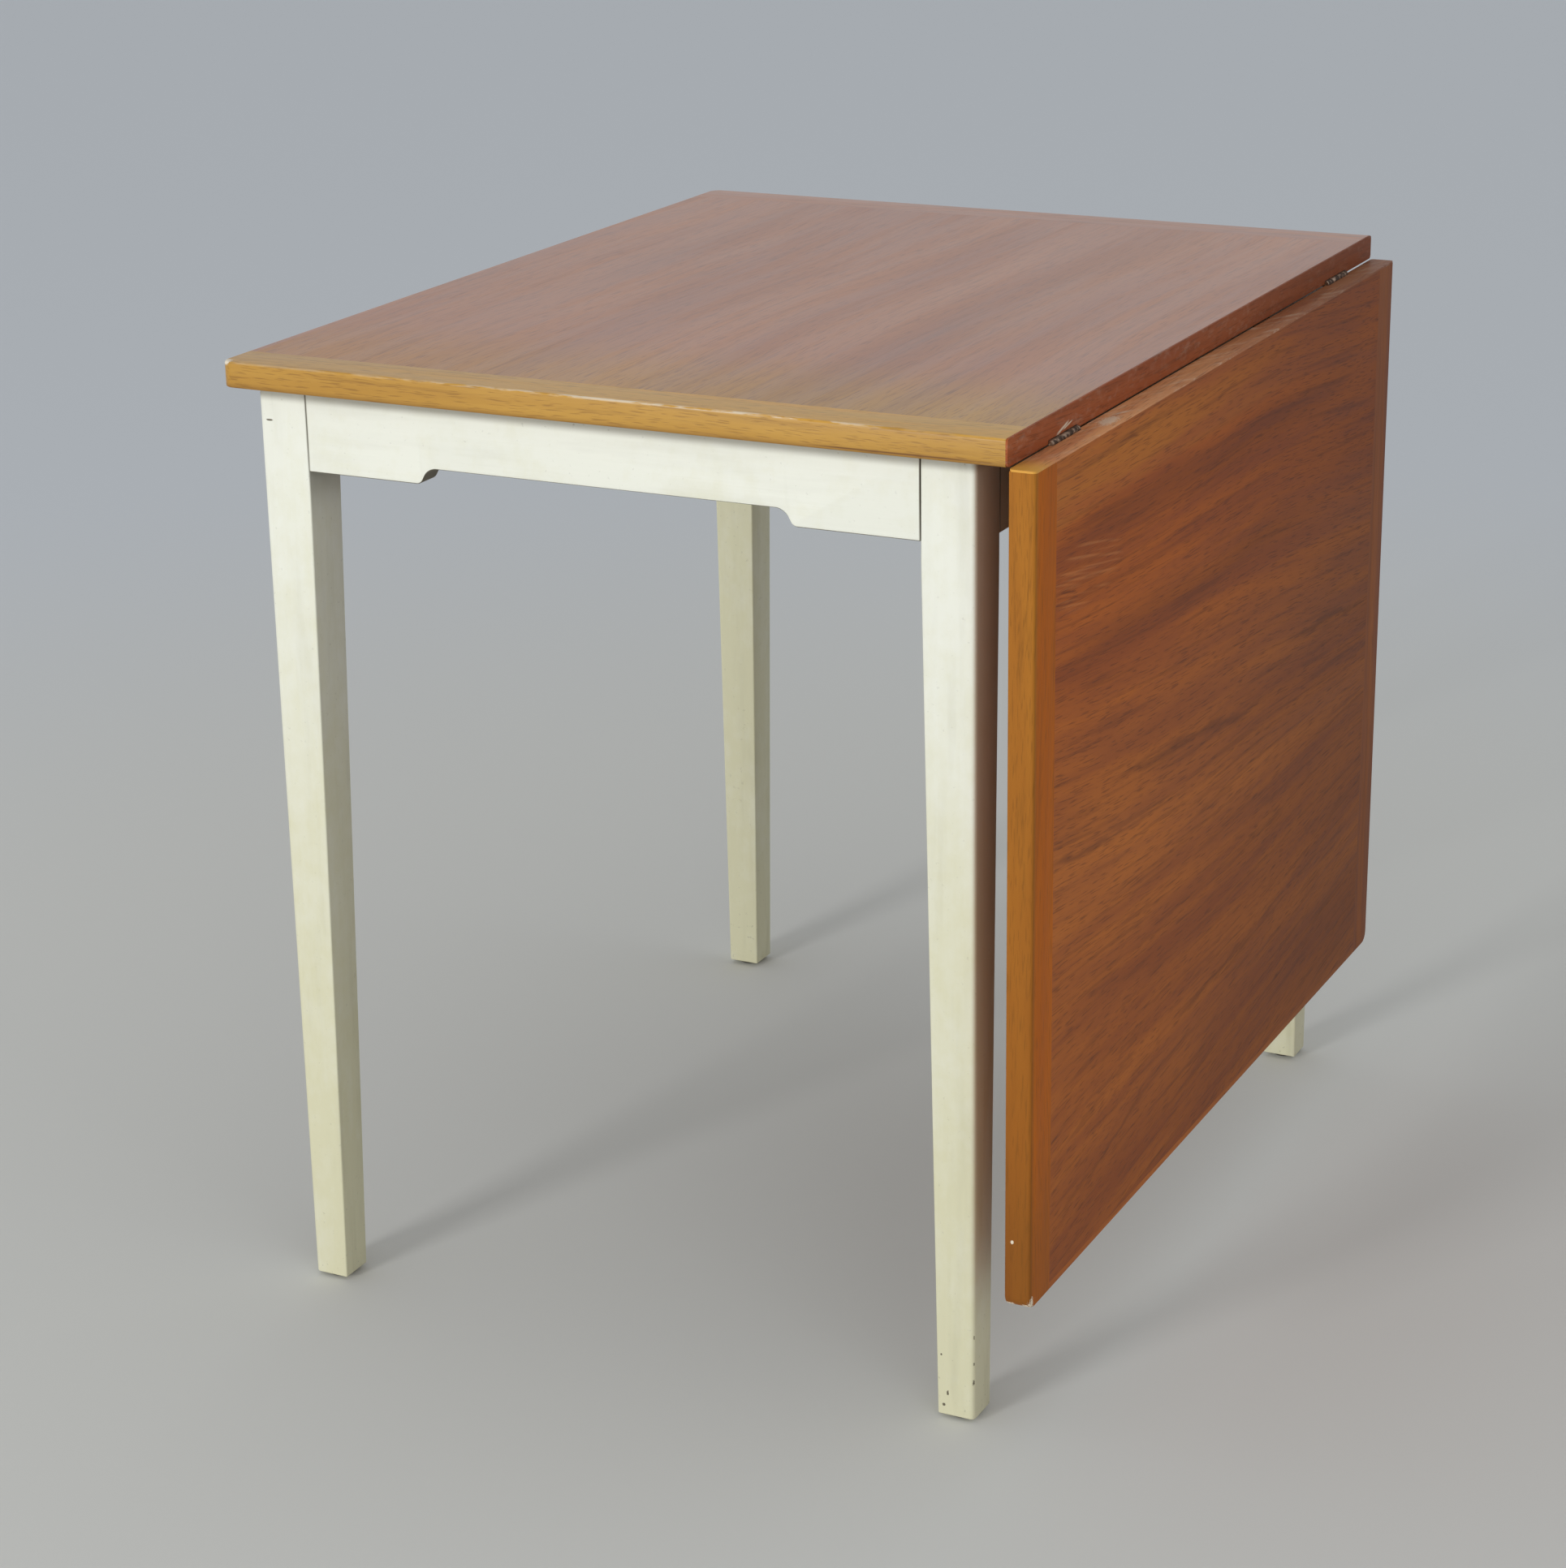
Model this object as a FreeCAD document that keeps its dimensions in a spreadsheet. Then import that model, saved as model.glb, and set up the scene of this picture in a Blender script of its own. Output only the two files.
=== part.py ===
import FreeCAD
import Part

import math
import os
import re

import Sketcher

# A kitchen table with one drop leaf: a veneered top with solid lippings on a painted frame of tapered legs
# and aprons, and a leaf of the same make that hangs on two butt hinges along the top's right edge.
# Millimetres, +Z up, +X towards the leaf, +Y towards the rear.
# The origin is on the floor, in the middle of the table's box with the leaf hanging.

SIZES = {
    # the whole table
    "table_height": 730.0,
    "top_width": 612.0,
    "leaf_length": 603.0,
    "board_depth": 766.0,
    # the build-up of the top and of the leaf
    "board_thickness": 19.0,
    "veneer_thickness": 0.8,
    "lipping_width": 36.0,
    "edging_thickness": 6.0,
    "hinge_edging_thickness": 1.5,
    "tongue_thickness": 6.0,
    "tongue_length": 8.0,
    "corner_radius": 10.0,
    "board_arris": 3.0,
    # how far the top stands out past the frame
    "overhang_left": 22.0,
    "overhang_right": 28.0,
    "overhang_front": 14.0,
    "overhang_rear": 14.0,
    # legs
    "leg_size": 40.0,
    "foot_size": 28.5,
    "leg_straight": 76.0,
    "leg_arris": 3.0,
    # aprons and their tenons
    "apron_depth": 60.0,
    "apron_thickness": 20.0,
    "apron_flat": 90.0,
    "apron_rise": 12.0,
    "ogee_width": 17.0,
    "apron_arris": 1.2,
    "tenon_thickness": 8.0,
    "tenon_length": 18.0,
    "tenon_shoulder": 10.0,
    "glue_gap": 0.1,
    # corner blocks
    "block_thickness": 25.0,
    "block_height": 38.0,
    "block_gap": 0.3,
    # nail-on glides under the feet
    "glide_diameter": 20.0,
    "glide_height": 3.0,
    "glide_arris": 1.0,
    "nail_diameter": 2.4,
    "nail_length": 14.0,
    # wood screws of the frame
    "screw_diameter": 4.0,
    "screw_head_diameter": 8.0,
    "screw_head_height": 2.6,
    "screw_slot_width": 1.0,
    "screw_slot_depth": 0.9,
    "screw_bite": 12.0,
    "screw_fit": 0.05,
    "head_room": 0.5,
    "tip_room": 0.5,
    "block_recess": 14.0,
    "block_grip": 10.0,
    # butt hinges, let into the boards
    "hinge_inset": 94.0,
    "hinge_length": 50.0,
    "plate_width": 22.0,
    "plate_thickness": 1.5,
    "knuckle_diameter": 5.5,
    "knuckle_gap": 0.3,
    "knuckle_room": 0.35,
    "pin_diameter": 3.0,
    "pin_fit": 0.05,
    "axis_gap": 0.3,
    "axis_drop": 0.5,
    "leaf_gap": 0.3,
    "hinge_screw_diameter": 3.0,
    "hinge_screw_head": 6.0,
    "hinge_screw_row": 13.0,
    "hinge_screw_spacing": 20.0,
    # pull-out bearers for the raised leaf, their guides and stops
    "bearer_tail_room": 92.0,
    "bearer_width": 40.0,
    "bearer_height": 22.0,
    "bearer_inset": 190.0,
    "bearer_play": 0.3,
    "bearer_arris": 3.0,
    "bearer_travel": 230.0,
    "finger_groove_diameter": 14.0,
    "finger_groove_depth": 4.0,
    "finger_groove_inset": 30.0,
    "peg_diameter": 10.0,
    "peg_drop": 6.0,
    "peg_inset": 16.0,
    "peg_fit": 0.05,
    "guide_length": 30.0,
    "guide_wall": 18.0,
    "guide_floor": 8.0,
    "guide_recess": 12.0,
}

KNUCKLES = 5

# Places that several pieces share, as expressions in the sizes above.
UNDERSIDE = "(table_height - board_thickness)"
LEFT_EDGE = "(-(top_width + axis_gap + axis_drop + board_thickness) / 2)"
RIGHT_EDGE = f"({LEFT_EDGE} + top_width)"
FRONT_EDGE = "(-board_depth / 2)"
REAR_EDGE = "(board_depth / 2)"
FRAME_LEFT = f"({LEFT_EDGE} + overhang_left)"
FRAME_RIGHT = f"({RIGHT_EDGE} - overhang_right)"
FRAME_FRONT = f"({FRONT_EDGE} + overhang_front)"
FRAME_REAR = f"({REAR_EDGE} - overhang_rear)"
LEG_LENGTH = f"({UNDERSIDE} - glide_height)"
AXIS_X = f"({RIGHT_EDGE} + axis_gap)"
AXIS_Z = f"({UNDERSIDE} - axis_drop)"
LEAF_INNER = f"({AXIS_X} + axis_drop)"
LEAF_LOW = f"({AXIS_Z} - leaf_gap - leaf_length)"
HINGE_FRONT = f"({FRONT_EDGE} + hinge_inset)"
HINGE_REAR = f"({REAR_EDGE} - hinge_inset)"
BLOCK_NEAR = "(2 * leg_size + sqrt(2) * block_gap - apron_thickness)"
BLOCK_FAR = f"({BLOCK_NEAR} + sqrt(2) * block_thickness)"
BLOCK_SCREW = f"(({BLOCK_NEAR} + {BLOCK_FAR}) / 2)"
BLOCK_MIDDLE = f"(({BLOCK_SCREW} + apron_thickness) / 2)"
SLOT_WIDTH = "(bearer_width + 2 * bearer_play)"
SLOT_HEIGHT = "(bearer_height + 2 * bearer_play)"
GUIDE_WIDTH = f"({SLOT_WIDTH} + 2 * guide_wall)"
GUIDE_HEIGHT = f"(guide_floor + {SLOT_HEIGHT})"
BEARER_TAIL = f"({FRAME_LEFT} + apron_thickness + bearer_tail_room)"
BEARER_LENGTH = f"({FRAME_RIGHT} - {BEARER_TAIL})"
PEG_X = f"({BEARER_TAIL} + peg_inset)"
GUIDE_LEFT = f"({PEG_X} + peg_diameter / 2 + bearer_travel)"
GUIDE_SCREW_X = f"({GUIDE_LEFT} + guide_length / 2)"
GUIDE_SCREW_SIDE = "(bearer_width / 2 + bearer_play + guide_wall / 2)"
BEARER_FRONT = f"({FRONT_EDGE} + bearer_inset)"
BEARER_REAR = f"({REAR_EDGE} - bearer_inset)"
HOLE_DEPTH = "(screw_bite + tip_room)"
SCREW_HOLE = "(screw_diameter + 2 * screw_fit)"
HINGE_SCREW_HOLE = "(hinge_screw_diameter + 2 * screw_fit)"
HINGE_HOLE_DEPTH = f"(plate_thickness + {HOLE_DEPTH})"
HEAD_HOLE = "(screw_head_diameter + 2 * head_room)"

UPRIGHT = FreeCAD.Rotation()
# Turns a board's length to +Z, its thickness to +X and its depth to -Y: the hanging leaf.
HANGING = FreeCAD.Rotation(FreeCAD.Vector(1, 0, 1), 180)
TURNED_OVER = FreeCAD.Rotation(FreeCAD.Vector(1, 0, 0), 180)
ALONG_X = FreeCAD.Rotation(FreeCAD.Vector(0, 1, 0), 90)
ALONG_Y = FreeCAD.Rotation(FreeCAD.Vector(1, 0, 0), -90)
TOLERANCE = 1e-4

doc = FreeCAD.newDocument("drop_leaf_table")
sheet = doc.addObject("Spreadsheet::Sheet", "Sizes")
nodes = []


def fill_sheet():
    """Writes each driving size into the sheet, under its own name."""
    for row, (alias, value) in enumerate(SIZES.items(), 1):
        sheet.set(f"A{row}", alias)
        sheet.set(f"B{row}", str(value))
        sheet.setAlias(f"B{row}", alias)
    doc.recompute()


def expr(text):
    """An expression in the names of sizes, as one that the document reads from the sheet."""
    return re.sub(r"[a-z][a-z_]*", lambda m: f"Sizes.{m[0]}" if m[0] in SIZES else m[0], text)


def measure(text):
    """The present value of an expression in the names of sizes."""
    return float(sheet.evalExpression(expr(text)))


def bind(item, expressions):
    """Ties properties of a document object to expressions in the sizes."""
    for path, text in expressions.items():
        item.setExpression(path, expr(text))


def move_to(item, place, rotation=UPRIGHT):
    """Turns a document object and ties its place to three expressions."""
    item.Placement = FreeCAD.Placement(FreeCAD.Vector(), rotation)
    for axis, text in zip("xyz", place):
        bind(item, {f"Placement.Base.{axis}": text})


def turned(degrees):
    """A turn about the vertical."""
    return FreeCAD.Rotation(FreeCAD.Vector(0, 0, 1), degrees)


def new_body(label, place, rotation=UPRIGHT):
    """A body whose label names its node, at its place in the table."""
    body = doc.addObject("PartDesign::Body", label)
    body.Label = label
    move_to(body, place, rotation)
    nodes.append(body)
    return body


def add_box(body, kind, name, size, corner):
    """An additive or subtractive box of a body, by its three sizes and its lowest corner."""
    box = body.newObject(f"PartDesign::{kind}Box", name)
    bind(box, dict(zip(("Length", "Width", "Height"), size)))
    move_to(box, corner)
    return box


def add_cylinder(body, kind, name, diameter, length, start, rotation=UPRIGHT):
    """An additive or subtractive cylinder of a body, from the middle of its first end."""
    cylinder = body.newObject(f"PartDesign::{kind}Cylinder", name)
    bind(cylinder, {"Radius": f"({diameter}) / 2", "Height": length})
    move_to(cylinder, start, rotation)
    return cylinder


def new_sketch(body, name, role):
    """A sketch on one of the body's own origin planes."""
    sketch = body.newObject("Sketcher::SketchObject", name)
    plane = next(item for item in body.Origin.OriginFeatures if item.Role == role)
    sketch.AttachmentSupport = [(plane, "")]
    sketch.MapMode = "FlatFace"
    return sketch


def hold_point(sketch, geometry, vertex, point):
    """Ties one vertex of a sketch to expressions for its two coordinates."""
    for kind, text in zip(("DistanceX", "DistanceY"), point):
        constraint = Sketcher.Constraint(kind, -1, 1, geometry, vertex, measure(text))
        index = sketch.addConstraint(constraint)
        sketch.setExpression(f"Constraints[{index}]", expr(text))


def at(point):
    """A pair of expressions as a vector in a sketch's plane."""
    return FreeCAD.Vector(measure(point[0]), measure(point[1]), 0)


def draw_polygon(sketch, points):
    """Closed straight outline through pairs of expressions."""
    count = len(points)
    for index, point in enumerate(points):
        sketch.addGeometry(Part.LineSegment(at(point), at(points[(index + 1) % count])))
    for index, point in enumerate(points):
        following = (index + 1) % count
        sketch.addConstraint(Sketcher.Constraint("Coincident", index, 2, following, 1))
        hold_point(sketch, index, 1, point)


def extrude(body, sketch, name, length, reverse=False):
    """A pad of a sketch."""
    pad = body.newObject("PartDesign::Pad", name)
    pad.Profile = sketch
    pad.Reversed = reverse
    bind(pad, {"Length": length})
    return pad


def round_edges(body, name, radius, wanted):
    """Rounds the edges of a body that a test picks out by their place."""
    doc.recompute()
    base = body.Tip
    picked = [f"Edge{i}" for i, edge in enumerate(base.Shape.Edges, 1) if wanted(edge)]
    if not picked:
        raise RuntimeError(f"{body.Label}: no edges found for {name}")
    fillet = body.newObject("PartDesign::Fillet", name)
    fillet.Base = (base, picked)
    bind(fillet, {"Radius": radius})


def near(value, target):
    """True where two coordinates are the same place."""
    return abs(value - target) < TOLERANCE


def within(edge, axis, value):
    """True where the whole edge lies at one value of a coordinate."""
    box = edge.BoundBox
    return near(getattr(box, f"{axis}Min"), value) and near(getattr(box, f"{axis}Max"), value)


def drill_from_below(body, name, points, diameter, depth):
    """Round holes up from the body's base plane, cut by one pocket."""
    doc.recompute()
    before = body.Tip.Shape.Volume
    sketch = new_sketch(body, f"{name}_plan", "XY_Plane")
    for index, point in enumerate(points):
        radius = measure(diameter) / 2
        sketch.addGeometry(Part.Circle(at(point), FreeCAD.Vector(0, 0, 1), radius))
        hold_point(sketch, index, 3, point)
        size = sketch.addConstraint(Sketcher.Constraint("Diameter", index, 2 * radius))
        sketch.setExpression(f"Constraints[{size}]", expr(diameter))
    pocket = body.newObject("PartDesign::Pocket", name)
    pocket.Profile = sketch
    pocket.Reversed = True
    bind(pocket, {"Length": depth})
    doc.recompute()
    if not body.Tip.Shape.Volume < before:
        raise RuntimeError(f"{body.Label}: {name} cuts nothing")


def hinge_screw_points(length, gap):
    """Where hinge screws enter a board, from its free edge and its first long side."""
    row = f"{length} + {gap} - hinge_screw_row"
    shifts = ("- hinge_screw_spacing", "", "+ hinge_screw_spacing")
    middles = ("hinge_inset", "board_depth - hinge_inset")
    return [(row, f"{middle} {shift}") for middle in middles for shift in shifts]


def block_screw_points():
    """Where the screws through the corner blocks enter the top, from its left and front edges."""
    columns = (f"overhang_left + {BLOCK_MIDDLE}", f"top_width - overhang_right - {BLOCK_MIDDLE}")
    rows = (f"overhang_front + {BLOCK_MIDDLE}", f"board_depth - overhang_rear - {BLOCK_MIDDLE}")
    return [(column, row) for column in columns for row in rows]


def guide_screw_points():
    """Where the screws through the bearer guides enter the top, from its left and front edges."""
    column = f"{GUIDE_SCREW_X} - {LEFT_EDGE}"
    middles = ("bearer_inset", "board_depth - bearer_inset")
    return [(column, f"{middle} {side} {GUIDE_SCREW_SIDE}") for middle in middles for side in "-+"]


def lipping(label, length, place, rotation):
    """Solid lipping along one long side of a board, with a tongue for the core and one rounded corner."""
    body = new_body(label, place, rotation)
    plain = f"{length} - hinge_edging_thickness"
    add_box(body, "Additive", f"{label}_strip", (plain, "lipping_width", "board_thickness"), ("0", "0", "0"))
    tongue_size = (f"{plain} - edging_thickness", "tongue_length", "tongue_thickness")
    tongue_corner = ("edging_thickness", "lipping_width", "(board_thickness - tongue_thickness) / 2")
    add_box(body, "Additive", f"{label}_tongue", tongue_size, tongue_corner)
    thickness = measure("board_thickness")
    radius = measure("corner_radius")
    round_edges(body, f"{label}_corner", "corner_radius", lambda e: within(e, "X", 0) and within(e, "Y", 0))

    def outer_arris(edge):
        middle = edge.CenterOfMass
        flat = within(edge, "Z", 0) or within(edge, "Z", thickness)
        corner = middle.x < radius and middle.y < radius
        return flat and (within(edge, "X", 0) or within(edge, "Y", 0) or corner)

    round_edges(body, f"{label}_arris", "board_arris", outer_arris)


def let_in_hinges(body, length, gap):
    """Recesses for the hinge plates and notches for the knuckles, where a body of a board meets them."""
    axis = f"({length} + {gap})"
    for side, middle in (("first", "hinge_inset"), ("second", "(board_depth - hinge_inset)")):
        recess_size = ("plate_width + glue_gap", "hinge_length + 2 * glue_gap", "2 * plate_thickness")
        recess_y = f"{middle} - hinge_length / 2 - glue_gap"
        recess_corner = (f"{axis} - plate_width - glue_gap", recess_y, "-plate_thickness")
        add_box(body, "Subtractive", f"{body.Label}_{side}_recess", recess_size, recess_corner)
        notch_length = "hinge_length + 2 * knuckle_gap"
        notch_start = (axis, f"{middle} - hinge_length / 2 - knuckle_gap", "-axis_drop")
        notch = ("knuckle_diameter + 2 * knuckle_room", notch_length, notch_start, ALONG_Y)
        add_cylinder(body, "Subtractive", f"{body.Label}_{side}_notch", *notch)


def board(prefix, length, gap, place, far_place, rotation, sides, frame_holes):
    """Core, veneers, lippings and edgings of the top or the leaf.

    In the board's own frame X runs from the free edge to the hinge edge, Y across the depth and Z from the
    backing to the face. The gap is how far the hinge edge stands off the hinges' axis. The sides are named in
    the order first long side, second long side, free edge, and far_place is where the second lipping starts.
    """
    near_side, far_side, free_edge = sides
    inner_length = f"{length} - edging_thickness - hinge_edging_thickness"
    inner_depth = "board_depth - 2 * lipping_width"
    inner_size = (inner_length, inner_depth)
    inner_corner = ("edging_thickness", "lipping_width")
    core = new_body(f"{prefix}_core", place, rotation)
    slab_size = (*inner_size, "board_thickness - 2 * veneer_thickness")
    add_box(core, "Additive", f"{prefix}_slab", slab_size, (*inner_corner, "veneer_thickness"))
    groove_size = (inner_length, "tongue_length + glue_gap", "tongue_thickness + 2 * glue_gap")
    groove_low = "(board_thickness - tongue_thickness) / 2 - glue_gap"
    far_groove = "board_depth - lipping_width - tongue_length - glue_gap"
    for side, start in ((near_side, "lipping_width"), (far_side, far_groove)):
        corner = ("edging_thickness", start, groove_low)
        add_box(core, "Subtractive", f"{prefix}_{side}_groove", groove_size, corner)
    face = new_body(f"{prefix}_face_veneer", place, rotation)
    veneer_size = (*inner_size, "veneer_thickness")
    face_corner = (*inner_corner, "board_thickness - veneer_thickness")
    add_box(face, "Additive", f"{prefix}_face", veneer_size, face_corner)
    backing = new_body(f"{prefix}_backing_veneer", place, rotation)
    add_box(backing, "Additive", f"{prefix}_back", veneer_size, (*inner_corner, "0"))
    hinge_points = hinge_screw_points(length, gap)
    drill_from_below(core, f"{prefix}_core_hinge_holes", hinge_points, HINGE_SCREW_HOLE, HINGE_HOLE_DEPTH)
    for body in (core, backing):
        if frame_holes:
            drill_from_below(body, f"{body.Label}_frame_holes", frame_holes, SCREW_HOLE, HOLE_DEPTH)
        let_in_hinges(body, length, gap)
    lipping(f"{prefix}_{near_side}_lipping", length, place, rotation)
    lipping(f"{prefix}_{far_side}_lipping", length, far_place, rotation * TURNED_OVER)
    edging = new_body(f"{prefix}_{free_edge}_edging", place, rotation)
    strip_size = ("edging_thickness", inner_depth, "board_thickness")
    add_box(edging, "Additive", f"{prefix}_{free_edge}_strip", strip_size, ("0", "lipping_width", "0"))
    thickness = measure("board_thickness")
    round_edges(
        edging,
        f"{prefix}_{free_edge}_arris",
        "board_arris",
        lambda e: within(e, "X", 0) and (within(e, "Z", 0) or within(e, "Z", thickness)),
    )
    hinge_edging = new_body(f"{prefix}_hinge_edging", place, rotation)
    hinge_strip_size = ("hinge_edging_thickness", "board_depth", "board_thickness")
    hinge_strip_corner = (f"{length} - hinge_edging_thickness", "0", "0")
    add_box(hinge_edging, "Additive", f"{prefix}_hinge_strip", hinge_strip_size, hinge_strip_corner)
    depth = measure("board_depth")

    def end_arris(edge):
        at_end = within(edge, "Y", 0) or within(edge, "Y", depth)
        return at_end and (within(edge, "Z", 0) or within(edge, "Z", thickness))

    round_edges(hinge_edging, f"{prefix}_hinge_arris", "board_arris", end_arris)
    let_in_hinges(hinge_edging, length, gap)


def make_boards():
    """The fixed top and the hanging leaf."""
    top_place = (LEFT_EDGE, FRONT_EDGE, UNDERSIDE)
    top_far_place = (LEFT_EDGE, REAR_EDGE, "table_height")
    top_holes = block_screw_points() + guide_screw_points()
    top_sides = ("front", "rear", "left")
    board("top", "top_width", "axis_gap", top_place, top_far_place, UPRIGHT, top_sides, top_holes)
    leaf_place = (LEAF_INNER, REAR_EDGE, LEAF_LOW)
    leaf_far_place = (f"{LEAF_INNER} + board_thickness", FRONT_EDGE, LEAF_LOW)
    leaf_sides = ("rear", "front", "free")
    board("leaf", "leaf_length", "leaf_gap", leaf_place, leaf_far_place, HANGING, leaf_sides, ())


# The four corners of the frame: name, outer corner in plan, and the turn that brings the inside to +X and +Y.
CORNERS = (
    ("front_left", FRAME_LEFT, FRAME_FRONT, 0),
    ("front_right", FRAME_RIGHT, FRAME_FRONT, 90),
    ("rear_right", FRAME_RIGHT, FRAME_REAR, 180),
    ("rear_left", FRAME_LEFT, FRAME_REAR, 270),
)


def from_corner(x, y, degrees, across, along):
    """A place in a frame corner's own plan, as a pair of expressions in the table's plan."""
    return {
        0: (f"{x} + {across}", f"{y} + {along}"),
        90: (f"{x} - {along}", f"{y} + {across}"),
        180: (f"{x} - {across}", f"{y} - {along}"),
        270: (f"{x} + {along}", f"{y} - {across}"),
    }[degrees]


def leg(corner, x, y, degrees):
    """Square leg whose two inner faces taper below the aprons, with mortises for two tenons."""
    label = f"leg_{corner}"
    body = new_body(label, (x, y, "glide_height"), turned(degrees))
    taper_top = f"({LEG_LENGTH} - leg_straight)"
    sections = []
    for name, size, height in (("foot", "foot_size", "0"), ("shoulder", "leg_size", taper_top)):
        section = new_sketch(body, f"{label}_{name}", "XY_Plane")
        draw_polygon(section, [("0", "0"), (size, "0"), (size, size), ("0", size)])
        bind(section, {"AttachmentOffset.Base.z": height})
        sections.append(section)
    taper = body.newObject("PartDesign::AdditiveLoft", f"{label}_taper")
    taper.Profile = sections[0]
    taper.Sections = [sections[1]]
    taper.Ruled = True
    head_size = ("leg_size", "leg_size", "leg_straight")
    add_box(body, "Additive", f"{label}_head", head_size, ("0", "0", taper_top))

    def arris(edge):
        return edge.BoundBox.ZLength > measure("leg_straight") / 2

    round_edges(body, f"{label}_arris", "leg_arris", arris)
    deep = "tenon_length + glue_gap"
    wide = "tenon_thickness + 2 * glue_gap"
    tall = "apron_depth - 2 * tenon_shoulder + 2 * glue_gap"
    start = f"leg_size - ({deep})"
    side = "(apron_thickness - tenon_thickness) / 2 - glue_gap"
    low = f"{LEG_LENGTH} - apron_depth + tenon_shoulder - glue_gap"
    add_box(body, "Subtractive", f"{label}_mortise_x", (deep, wide, tall), (start, side, low))
    add_box(body, "Subtractive", f"{label}_mortise_y", (wide, deep, tall), (side, start, low))
    middle = "foot_size / 2"
    nail_hole = ("nail_diameter + 2 * screw_fit", "nail_length + tip_room")
    add_cylinder(body, "Subtractive", f"{label}_nail_hole", *nail_hole, (middle, middle, "0"))


def glide(corner, x, y, degrees):
    """Round glide with the nail that holds it in the foot."""
    label = f"glide_{corner}"
    middle = "foot_size / 2"
    body = new_body(label, (*from_corner(x, y, degrees, middle, middle), "0"))
    add_cylinder(body, "Additive", f"{label}_disc", "glide_diameter", "glide_height", ("0", "0", "0"))
    round_edges(body, f"{label}_rim", "glide_arris", lambda e: within(e, "Z", 0))
    nail_start = ("0", "0", "glide_height")
    add_cylinder(body, "Additive", f"{label}_nail", "nail_diameter", "nail_length", nail_start)


def corner_block(corner, x, y, degrees):
    """Diagonal block behind a leg, screwed to both aprons and up into the top."""
    label = f"corner_block_{corner}"
    body = new_body(label, (x, y, f"{UNDERSIDE} - block_height"), turned(degrees))
    plan = new_sketch(body, f"{label}_plan", "XY_Plane")
    inner = "apron_thickness"
    draw_polygon(plan, [(BLOCK_NEAR, inner), (BLOCK_FAR, inner), (inner, BLOCK_FAR), (inner, BLOCK_NEAR)])
    extrude(body, plan, f"{label}_pad", "block_height")
    centre = (BLOCK_MIDDLE, BLOCK_MIDDLE)
    drill_from_below(body, f"{label}_riser", [centre], SCREW_HOLE, "block_height")
    drill_from_below(body, f"{label}_recess", [centre], HEAD_HOLE, "block_recess")
    height = "block_height / 2"
    seat = "apron_thickness + block_grip"
    for name, diameter, start in (("hole", SCREW_HOLE, inner), ("bore", HEAD_HOLE, seat)):
        for way, turn, place in (
            ("x", ALONG_X, (start, BLOCK_SCREW, height)),
            ("y", ALONG_Y, (BLOCK_SCREW, start, height)),
        ):
            hole = (f"{label}_{name}_{way}", diameter, "block_thickness", place, turn)
            add_cylinder(body, "Subtractive", *hole)


def draw_apron_face(sketch, length, shaped):
    """Outline of an apron seen from outside: its lower edge can rise in the middle through double curves."""
    right = f"({length})"
    if not shaped:
        draw_polygon(sketch, [("0", "0"), (right, "0"), (right, "apron_depth"), ("0", "apron_depth")])
        return
    first = "(apron_flat + ogee_width)"
    last = f"({right} - {first})"
    low_right = f"({right} - apron_flat)"
    lines = (
        (("0", "0"), ("apron_flat", "0")),
        ((first, "apron_rise"), (last, "apron_rise")),
        ((low_right, "0"), (right, "0")),
        ((right, "0"), (right, "apron_depth")),
        ((right, "apron_depth"), ("0", "apron_depth")),
        (("0", "apron_depth"), ("0", "0")),
    )
    for start, end in lines:
        sketch.addGeometry(Part.LineSegment(at(start), at(end)))
    width = measure("ogee_width")
    rise = measure("apron_rise")
    radius = (width**2 + rise**2) / (4 * rise)
    span = 2 * math.atan2(rise, width)
    quarter = math.pi / 2
    low = radius
    high = rise - radius
    for centre, height, begin in (
        ("apron_flat", low, -quarter),
        (first, high, quarter),
        (low_right, low, -quarter - span),
        (last, high, quarter - span),
    ):
        circle = Part.Circle(FreeCAD.Vector(measure(centre), height, 0), FreeCAD.Vector(0, 0, 1), radius)
        sketch.addGeometry(Part.ArcOfCircle(circle, begin, begin + span))
    for index in (2, 3, 4):
        sketch.addConstraint(Sketcher.Constraint("Coincident", index, 2, index + 1, 1))
    sketch.addConstraint(Sketcher.Constraint("Coincident", 5, 2, 0, 1))
    smooth = ((0, 2, 6, 1), (6, 2, 7, 2), (7, 1, 1, 1), (1, 2, 9, 2), (9, 1, 8, 1), (8, 2, 2, 1))
    for joint in smooth:
        sketch.addConstraint(Sketcher.Constraint("Tangent", *joint))
    for pair in ((6, 7), (8, 9)):
        sketch.addConstraint(Sketcher.Constraint("Equal", *pair))
    for index, (start, end) in enumerate(lines):
        if index < 3:
            hold_point(sketch, index, 1, start)
        if index < 5:
            hold_point(sketch, index, 2, end)


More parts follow.
